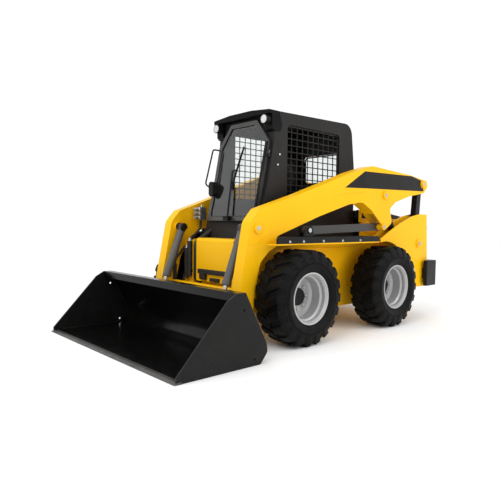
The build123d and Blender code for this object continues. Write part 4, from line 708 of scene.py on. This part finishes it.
glass_shader.inputs["IOR"].default_value = 1.5
paint(glass, "rear_window", "door_glass")

DOOR_POST_SCREWS = ((-0.282, 1.699), (-0.306, 1.602))
cab_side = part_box("cab_frame")[1].x - 0.0004
dome = turned("dome", [
    (0, 0), (0, 0.0105), (0.0015, 0.0105), (0.0045, 0.0085), (0.0062, 0.004), (0.0062, 0)],
    (0, 0, 0), steps=20)
cab_screws = copies("cab_screws", dome, both_sides([(cab_side, y, z) for y, z in DOOR_POST_SCREWS]))
dressed(rest(cab_screws), zinc, "chassis")

WINDOW_CORNER, LIP_WIDE, LIP_THICK = 0.040, 0.014, 0.016
window_low, window_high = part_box("rear_window")
bpy.ops.object.select_all(action="DESELECT")
bpy.ops.mesh.primitive_plane_add(size=1.0, location=centre_of("rear_window"), rotation=(pi / 2, 0, 0))
seal = bpy.context.object
seal.scale = (window_high.x - window_low.x, window_high.z - window_low.z, 1.0)
rest(seal)
edit_all(seal)
bpy.ops.mesh.bevel(offset=WINDOW_CORNER, segments=6, affect="VERTICES")
bpy.ops.mesh.select_all(action="SELECT")
bpy.ops.mesh.inset(thickness=LIP_WIDE, depth=0.0)
bpy.ops.mesh.delete(type="FACE")
bpy.ops.object.mode_set(mode="OBJECT")
solid = seal.modifiers.new("depth", "SOLIDIFY")
solid.thickness = LIP_THICK
solid.offset = 0.0
bpy.ops.object.modifier_apply(modifier=solid.name)
bevelled(seal, 0.002, 2)
edit_all(seal)
clean()
seal.name = "rear_window_seal"
dressed(rest(seal), rubber, "chassis")

# ==== Work lamps ====
# Two round lamps in black housings under the visor, each with a ribbed lens painted pale grey:
# a painted reflection standing in for a bright reflector behind clear glass.
paint(black_plastic, "front_lamps")
lens_painted_reflection = coat(
    "lamp_lens_painted_reflection", light=(0.62, 0.62, 0.61), dark=(0.48, 0.48, 0.475),
    worn=(0.95, 0.95, 0.95), wear_and_highlight=0.1, gloss=(0.05, 0.12), pebble=700.0, depth=0.0006, clear=0.8,
    dust=0.0)
lamp_low, lamp_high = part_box("front_lamps")
LAMP_R = (lamp_high.z - lamp_low.z) / 2
LAMP_RIM = 0.007
lens_r = LAMP_R - LAMP_RIM
lenses = []
for side in (1, -1):
    face = (side * (lamp_high.x - LAMP_R), lamp_low.y, (lamp_low.z + lamp_high.z) / 2)
    lenses.append(turned("lens", [
        (out, lens_r * share) for out, share in (
            (0.004, 0), (0.004, 1), (-0.001, 1), (-0.002, 0.92), (-0.0035, 0.80), (-0.0025, 0.76),
            (-0.0045, 0.60), (-0.0035, 0.56), (-0.0052, 0.40), (-0.0042, 0.36), (-0.0058, 0.15),
            (-0.0060, 0))], face, "Y", 40))
dressed(joined("lamp_lenses", *lenses), lens_painted_reflection, "chassis")

# ==== Door ====
# A glazed front door in a folded frame, hung on two hinges at the machine's left, with
# a rubber seal round the glass, a grab handle, a latch and a wiper.
# The frame's enamel is a lighter grey than the cab's charcoal: partly its own glossier paint, partly a
# painted sheen.
door_enamel_with_painted_sheen = coat(
    "door_enamel_with_painted_sheen", light=(0.040, 0.039, 0.038), dark=(0.030, 0.029, 0.028),
    worn=(0.11, 0.11, 0.11), wear_and_highlight=0.35, gloss=(0.18, 0.28), pebble=520.0, depth=0.0005, clear=0.25,
    dust=0.03, shine=0.4)
paint(door_enamel_with_painted_sheen, "door_frame")
paint(black_plastic, "door_fittings")


def along(start, end):
    """Turns a piece made on the X axis so that it starts at a point and runs to another."""
    way = (Vector(end) - Vector(start)).normalized()
    return Matrix.Translation(start) @ way.to_track_quat("X", "Z").to_matrix().to_4x4()


# The seal follows the edge of the pane's outer face, the one that looks forward.
SEAL_R = 0.005
OUTER_FACE = -0.6    # its normal's y is below this
pane = twin_of(nodes["door_glass"])
edit_all(pane)
bpy.ops.mesh.remove_doubles(threshold=0.00002)
bpy.ops.mesh.select_mode(type="FACE")
bpy.ops.mesh.select_all(action="DESELECT")
bpy.ops.object.mode_set(mode="OBJECT")
for face in pane.data.polygons:
    face.select = face.normal.y > OUTER_FACE
bpy.ops.object.mode_set(mode="EDIT")
bpy.ops.mesh.delete(type="FACE")
bpy.ops.mesh.select_all(action="SELECT")
bpy.ops.mesh.region_to_loop()
bpy.ops.mesh.select_all(action="INVERT")
bpy.ops.mesh.delete(type="EDGE")
bpy.ops.mesh.select_mode(type="VERT")
bpy.ops.object.mode_set(mode="OBJECT")
bpy.ops.object.convert(target="CURVE")
pane = bpy.context.object
pane.data.bevel_depth = SEAL_R
pane.data.bevel_resolution = 2
bpy.ops.object.convert(target="MESH")
pane = bpy.context.object
pane.name = "door_glass_seal"
dressed(rest(pane, 60.0), rubber, "cab_door")

# The wiper's bow: a strip that is broad in the middle and drawn to a point at both ends.
BLADE_LOW, BLADE_HIGH = Vector((-0.070, -0.4850, 1.372)), Vector((0.026, -0.3995, 1.812))
BOW_WIDE, BOW_THICK, BOW_TIP = 0.024, 0.012, 0.22
blade_long = (BLADE_HIGH - BLADE_LOW).length
bow = block((1.0, 1.0, 1.0), (0.5, 0, 0))
edit_all(bow)
bpy.ops.mesh.subdivide(number_cuts=11)
bpy.ops.object.mode_set(mode="OBJECT")
for vertex in bow.data.vertices:
    x, y, z = vertex.co
    taper = BOW_TIP + (1 - BOW_TIP) * sin(pi * x) ** 0.7 if 0 < x < 1 else BOW_TIP
    vertex.co = (x * blade_long, y * BOW_WIDE * taper, z * BOW_THICK * taper)
bow.data.transform(along(BLADE_LOW, BLADE_HIGH))
bow.name = "wiper_bow"
dressed(rest(bow), black_plastic, "cab_door")

# ==== Seat and controls ====
# A moulded foam cushion and backrest in grained black vinyl, with raised side bolsters
# and sewn cross seams, on a steel seat box between two control consoles.
vinyl = coat(
    "seat_vinyl", light=(0.022, 0.022, 0.023), dark=(0.016, 0.016, 0.017),
    worn=(0.04, 0.04, 0.04), wear_and_highlight=0.2, gloss=(0.42, 0.55), pebble=650.0, depth=0.0012, dust=0.03,
    reach=0.003)
paint(black_plastic, "consoles")
paint(black_enamel, "seat_box")
seat_low, seat_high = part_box("seat")

# Where a pad's side bolsters begin and its seams end, as shares of its half width, and
# half a seam's width as a share of the pad's half length.
BOLSTER_FROM, SEAM_ENDS, SEAM_HALF = 0.55, 0.62, 0.10
SEAM_DEEP = 0.008


def foam(name, size, crown, seams, bolster):
    """A pad lying in XY, its top crowned along Z, with seams across Y and raised sides."""
    bpy.ops.object.select_all(action="DESELECT")
    bpy.ops.mesh.primitive_cube_add(size=1.0)
    pad = bpy.context.object
    pad.name = name
    edit_all(pad)
    bpy.ops.mesh.subdivide(number_cuts=15)
    bpy.ops.object.mode_set(mode="OBJECT")
    for vertex in pad.data.vertices:
        x, y, z = (2 * value for value in vertex.co)
        inner = (1 - x ** 4) * (1 - y ** 4)
        pull = 1 - 0.05 * (1 - z * z) * (abs(x) ** 8 + abs(y) ** 8)
        top = crown * inner if z > 0 else 0.0
        raised = bolster * max(0.0, (abs(x) - BOLSTER_FROM) / (1 - BOLSTER_FROM))
        raised *= (1 - abs(x) ** 10) * (1 - y ** 6) if z > 0 else 0.0
        cut = sum(max(0.0, 1 - abs(y - seam) / SEAM_HALF) for seam in seams) * SEAM_DEEP
        if z <= 0.5 or abs(x) >= SEAM_ENDS:
            cut = 0.0
        height = z * size[2] / 2 + top + raised - cut
        vertex.co = (x * size[0] / 2 * pull, y * size[1] / 2 * pull, height)
    smooth = pad.modifiers.new("foam", "SUBSURF")
    smooth.levels = 2
    smooth.render_levels = 2
    only(pad)
    bpy.ops.object.modifier_apply(modifier=smooth.name)
    return pad


CUSHION_AT = Vector((0, 0.358, seat_low.z + 0.062))
BACK_AT = Vector((0, 0.648, seat_low.z + 0.375))
BACK_LEAN = radians(80)
seat_wide = seat_high.x - seat_low.x
cushion = foam("seat_cushion", size=(seat_wide - 0.02, 0.44, 0.10), crown=0.014,
               seams=(-0.35, 0.30), bolster=0.022)
cushion.data.transform(Matrix.Translation(CUSHION_AT))
backrest = foam("seat_backrest", size=(seat_wide - 0.05, 0.56, 0.085), crown=0.012,
                seams=(-0.40, 0.05, 0.50), bolster=0.020)
backrest.data.transform(Matrix.Translation(BACK_AT) @ Matrix.Rotation(BACK_LEAN, 4, "X"))
for pad in (cushion, backrest):
    dressed(rest(pad, 60.0), vinyl, "chassis")
    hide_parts("seat")

# ==== Lift arms ====
# Two welded box arms in the yellow enamel, each with a charcoal stripe masked and sprayed
# on its rear part, a doubler plate welded on and bosses with silver pin ends. The pins'
# middles, which show between the arm's two sides, are black.


def beyond(tree, place, start, end):
    """1 on the left of the line from start to end, both (y, z), and 0 on its right."""
    run_y, run_z = end[0] - start[0], end[1] - start[1]
    rise = maths(tree, "MULTIPLY", place.outputs["Z"], run_y)
    side_run = maths(tree, "MULTIPLY", place.outputs["Y"], -run_z)
    offset = run_z * start[0] - run_y * start[1]
    above = maths(tree, "ADD", maths(tree, "ADD", rise, side_run), offset)
    return maths(tree, "GREATER_THAN", above, 0.0)


def square_from(tree, place, centre):
    """The squared distance from a (y, z) point, as seen from the side."""
    legs = [maths(tree, "POWER", maths(tree, "SUBTRACT", place.outputs[title], middle), 2.0)
            for title, middle in zip("YZ", centre)]
    return maths(tree, "ADD", *legs)


def masked(finish, name, mask, second):
    """A copy of a finish, in a second colour wherever mask(tree, place) gives 1."""
    made = finish.copy()
    made.name = name
    tree = made.node_tree
    color = tree.nodes["Principled BSDF"].inputs["Base Color"]
    spot = node(tree, "ShaderNodeTexCoord")
    place = node(tree, "ShaderNodeSeparateXYZ")
    tree.links.new(spot.outputs["Object"], place.inputs[0])
    under = color.links[0].from_socket
    tree.links.new(mixed(tree, mask(tree, place), under, (*second, 1.0)), color)
    return made


# The stripe's corners, each (y, z).
STRIPE = ((0.241, 1.403), (1.660, 1.437), (1.640, 1.552), (1.395, 1.592), (0.515, 1.577))
STRIPE_OUT = 0.72      # the stripe is on the outer face alone, beyond this x
BOSS_PLACE, STRIPE_GAP = (1.6385, 1.520), 0.047
PINS_IN = 0.515        # what lies nearer the machine's middle than this is the pins


def stripe_and_pins(tree, place):
    away = maths(tree, "ABSOLUTE", place.outputs["X"], 0.0)
    stripe = maths(tree, "GREATER_THAN", away, STRIPE_OUT)
    for corner, after in zip(STRIPE, STRIPE[1:] + STRIPE[:1]):
        stripe = maths(tree, "MULTIPLY", stripe, beyond(tree, place, corner, after))
    off_boss = maths(tree, "GREATER_THAN", square_from(tree, place, BOSS_PLACE), STRIPE_GAP ** 2)
    stripe = maths(tree, "MULTIPLY", stripe, off_boss)
    return maths(tree, "MAXIMUM", stripe, maths(tree, "LESS_THAN", away, PINS_IN))


arm_paint = masked(yellow, "arm_enamel", stripe_and_pins, (0.010, 0.0095, 0.009))
paint(arm_paint, "arm_left", "arm_right")
paint(yellow, "arm_cross_tubes")

# The arm's outer face stands at the first x ahead of the front bend, and slopes out to
# the second x at the rear bend.
ARM_FRONT_X, ARM_REAR_X = 0.645, 0.800
BEND_FRONT, BEND_REAR = -0.7715, 0.5285


def arm_face(y):
    """How far out the arm's outer face is at a place along the machine."""
    share = min(1.0, max(0.0, (y - BEND_FRONT) / (BEND_REAR - BEND_FRONT)))
    return ARM_FRONT_X + share * (ARM_REAR_X - ARM_FRONT_X)


def weld(name, points, radius):
    """A round-topped weld bead along the points."""
    line = bpy.data.curves.new(name, "CURVE")
    line.dimensions = "3D"
    line.bevel_depth = radius
    line.bevel_resolution = 2
    line.use_fill_caps = True
    spline = line.splines.new("POLY")
    spline.points.add(len(points) - 1)
    for target, source in zip(spline.points, points):
        target.co = (*source, 1.0)
    bead = bpy.data.objects.new(name, line)
    bpy.context.collection.objects.link(bead)
    only(bead)
    bpy.ops.object.convert(target="MESH")
    return rest(bpy.context.object, 60.0)


def rounded_path(corners, steps=5):
    """A path past corners, each (y, z, reach), with every corner rounded over its reach."""
    path = []
    for n, (y, z, radius) in enumerate(corners):
        here = Vector((y, z))
        if n in (0, len(corners) - 1) or radius == 0:
            path.append(here)
            continue
        back = (Vector(corners[n - 1][:2]) - here).normalized()
        on = (Vector(corners[n + 1][:2]) - here).normalized()
        for step in range(steps + 1):
            share = step / steps
            first, last = here + back * radius, here + on * radius
            path.append((1 - share) ** 2 * first + 2 * share * (1 - share) * here + share ** 2 * last)
    return path


# Edges of the two doubler plates, each corner (y, z, reach).
DOUBLER_EDGE = ((0.500, 1.372, 0), (0.110, 1.330, 0.05), (0.070, 1.225, 0.05), (0.395, 1.258, 0))
GUSSET_EDGE = ((-0.905, 0.895, 0), (-0.835, 0.868, 0.04), (-0.655, 0.968, 0.05), (-0.600, 0.985, 0))
WELD_R = 0.0022
beads = []
for side in (1, -1):
    for edge in (DOUBLER_EDGE, GUSSET_EDGE):
        line = [(side * (arm_face(p.x) - 0.0004), p.x, p.y) for p in rounded_path(edge)]
        beads.append(weld("bead", line, WELD_R))
dressed(joined("arm_welds", *beads), yellow, "lift_arms")

tilt_y, tilt_z = joint_at["tilt_cylinder_swing"][1:]
link_y, link_z = joint_at["arm_swing"][1:]
LIFT_ROD_PIN = (0.8725, 1.357)
ARM_PINS = ((tilt_y, tilt_z), (link_y, link_z), LIFT_ROD_PIN, BOSS_PLACE)
ARM_PIN_R = 0.0205
arm_pins = copies("arm_pin_ends", pin_end(ARM_PIN_R), both_sides(
    [(face_at("arm_left", y, z), y, z) for y, z in ARM_PINS]))
dressed(rest(arm_pins), zinc, "lift_arms")
TILT_PIN_IN = 0.426    # the x of its end on the arm's inner side
inner_pins = copies("tilt_pin_ends", pin_end(ARM_PIN_R), [
    Matrix.Translation((-TILT_PIN_IN, tilt_y, tilt_z)),
    Matrix.Translation((TILT_PIN_IN, tilt_y, tilt_z)) @ Matrix.Rotation(pi, 4, "Z")])
dressed(rest(inner_pins), zinc, "lift_arms")

# ==== Links and cylinders ====
# Forged control links in dark grey enamel and rear links in black. The tilt barrels are
# grey with black eyes, the lift barrels black, all with gland nuts; the rods are chromed.
link_grey = coat(
    "link_grey", light=(0.032, 0.031, 0.030), dark=(0.024, 0.023, 0.022),
    worn=(0.14, 0.14, 0.14), wear_and_highlight=0.35, gloss=(0.34, 0.46), pebble=300.0, depth=0.0006, dust=0.06)
barrel_grey = coat(
    "barrel_grey", light=(0.085, 0.083, 0.082), dark=(0.065, 0.063, 0.062),
    worn=(0.22, 0.22, 0.22), wear_and_highlight=0.35, gloss=(0.32, 0.44), pebble=300.0, depth=0.0006, clear=0.15,
    dust=0.05)
chrome = coat(
    "rod_chrome", light=(0.50, 0.50, 0.51), dark=(0.42, 0.42, 0.43),
    worn=(0.6, 0.6, 0.6), wear_and_highlight=0.2, gloss=(0.08, 0.14), pebble=900.0, depth=0.0001, metal=1.0,
    dust=0.0, reach=0.001)
paint(link_grey, "control_links")
paint(black_enamel, "rear_links")
EYE_R = 0.048


def tilt_eye(tree, place):
    return maths(tree, "LESS_THAN", square_from(tree, place, (tilt_y, tilt_z)), EYE_R ** 2)


tilt_paint = masked(barrel_grey, "tilt_barrel_enamel", tilt_eye, (0.010, 0.010, 0.010))
paint(tilt_paint, "tilt_barrels")
paint(black_enamel, "lift_barrels")
paint(chrome, "tilt_rods", "lift_rods")

lift_y, lift_z = joint_at["lift"][1:]
link_pins = copies("link_pin_ends", pin_end(ARM_PIN_R), both_sides(
    [(face_at("link_brackets", lift_y, lift_z), lift_y, lift_z)]))
dressed(rest(link_pins), zinc, "chassis")

# Each gland nut screws into its barrel's open end, and has a wiper lip round the rod.
GLAND_BACK = 0.022    # from the barrel's far end to the nut's inner end
# (barrel node, joint it hangs on, rod's slide, barrel's radius, rod's radius, middle x)
for barrel_node, pin, slide, barrel_r, rod_r, middle_x in (
        ("tilt_barrels", "tilt_cylinder_swing", "tilt_rod_slide", 0.0375, 0.0200, 0.460),
        ("lift_barrels", "lift_cylinder_swing", "lift_rod_slide", 0.0375, 0.0225, 0.7325)):
    way = next(Vector(j["axis"]) for j in frame["joints"] if j["name"] == slide)
    start = Vector(joint_at[pin])
    reach = max((v.co - start).dot(way) for v in nodes[barrel_node].data.vertices
                if abs(abs(v.co.x) - middle_x) < NEAR)
    glands = []
    for side in (1, -1):
        mouth = start + way * (reach - GLAND_BACK)
        mouth.x = side * middle_x
        gland = turned("gland", [
            (0, barrel_r - 0.003), (0, barrel_r + 0.0025), (0.016, barrel_r + 0.0025),
            (0.0205, barrel_r - 0.002), (0.0225, barrel_r - 0.004), (0.0225, rod_r + 0.006),
            (0.0255, rod_r + 0.004), (0.0255, rod_r + 0.0005), (0.010, rod_r + 0.0005),
            (0.010, barrel_r - 0.003)], (0, 0, 0), steps=32)
        gland.data.transform(along(mouth, mouth + way))
        glands.append(gland)
    whole = rest(joined(f"{barrel_node}_glands", *glands))
    dressed(whole, black_enamel, barrel_node)

# ==== Hoses and couplers ====
# Hydraulic hoses with a smooth rubber cover, and zinc plated quick couplers in blocks
# inside each arm. At the hull's front wall two hoses run in ribbed guards with collars.
hose_rubber = coat(
    "hose_rubber", light=(0.009, 0.009, 0.009), dark=(0.006, 0.006, 0.006),
    worn=(0.05, 0.05, 0.05), wear_and_highlight=0.2, gloss=(0.45, 0.6), pebble=700.0, depth=0.0010, dust=0.08,
    reach=0.002)
paint(hose_rubber, "arm_hoses", "hull_hoses")
paint(zinc, "aux_couplers")

GUARD_R, RIB, GROOVE = 0.0245, 0.013, 0.002
GUARDS = ((-0.385, 0.520, 0.880), (-0.438, 0.500, 0.800))    # (x, bottom, top)
guard_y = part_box("main_frame")[0].y - GUARD_R - 0.0005
guards, collars = [], []
for x, bottom, top in GUARDS:
    ribs = int((top - bottom) / RIB)
    outline = [(0, 0)]
    for n in range(ribs):
        start = n * RIB
        outline += [(start, GUARD_R - GROOVE), (start + 0.3 * RIB, GUARD_R), (start + 0.7 * RIB, GUARD_R)]
    outline += [(ribs * RIB, GUARD_R - GROOVE), (ribs * RIB, 0)]
    guards.append(turned("guard", outline, (x, guard_y, bottom), "Z", 24, 50.0))
    collars.append(turned("collar", [
        (0, 0), (0, 0.020), (0.010, 0.021), (0.014, 0.017), (0.030, 0.016), (0.030, 0)],
        (x, guard_y, bottom + ribs * RIB), "Z", 24))
dressed(joined("hose_guards", *guards), hose_rubber, "chassis")
dressed(joined("hose_guard_collars", *collars), zinc, "chassis")

# ==== Bucket and coupler plate ====
# A general purpose bucket of bent back sheet and side plates, welded together and painted
# black, with a bare hardened cutting edge. The coupler plate behind it is black too.
bucket_black = coat(
    "bucket_black", light=(0.0085, 0.0082, 0.0080), dark=(0.0055, 0.0053, 0.0052),
    worn=(0.07, 0.067, 0.064), wear_and_highlight=0.4, gloss=(0.26, 0.38), pebble=260.0, depth=0.0004, clear=0.02,
    dust=0.02, reach=0.005, shine=0.16)
# The shell, the bucket's floor and back, is a darker black than the side plates: painted shade for the
# bucket's shaded inside.
shell_black_painted_shade = coat(
    "shell_black_painted_shade", light=(0.0032, 0.0031, 0.0030), dark=(0.0020, 0.0019, 0.0019),
    worn=(0.06, 0.058, 0.056), wear_and_highlight=0.25, gloss=(0.16, 0.26), pebble=220.0, depth=0.0003,
    clear=0.04, dust=0.01, reach=0.004, shine=0.14)
edge_steel = coat(
    "edge_steel", light=(0.085, 0.083, 0.082), dark=(0.045, 0.044, 0.043),
    worn=(0.42, 0.41, 0.40), wear_and_highlight=0.7, gloss=(0.34, 0.52), pebble=90.0, depth=0.0012, metal=0.5,
    dust=0.15, reach=0.005)
paint(bucket_black, "bucket_sides", "coupler")
paint(shell_black_painted_shade, "bucket")
paint(edge_steel, "cutting_edge")
bucket_low, bucket_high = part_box("bucket")
floor_back = max(v.co.y for v in nodes["bucket"].data.vertices if v.co.z < bucket_low.z + 0.03)
seam_x = bucket_high.x - 0.001
inner_floor = bucket_low.z + 0.016
SEAM_R = 0.004
seams = []
for side in (1, -1):
    line = [(side * seam_x, y, inner_floor) for y in (bucket_low.y + 0.05, floor_back - 0.03)]
    seams.append(weld("bead", line, SEAM_R))
dressed(joined("bucket_welds", *seams), bucket_black, "bucket")
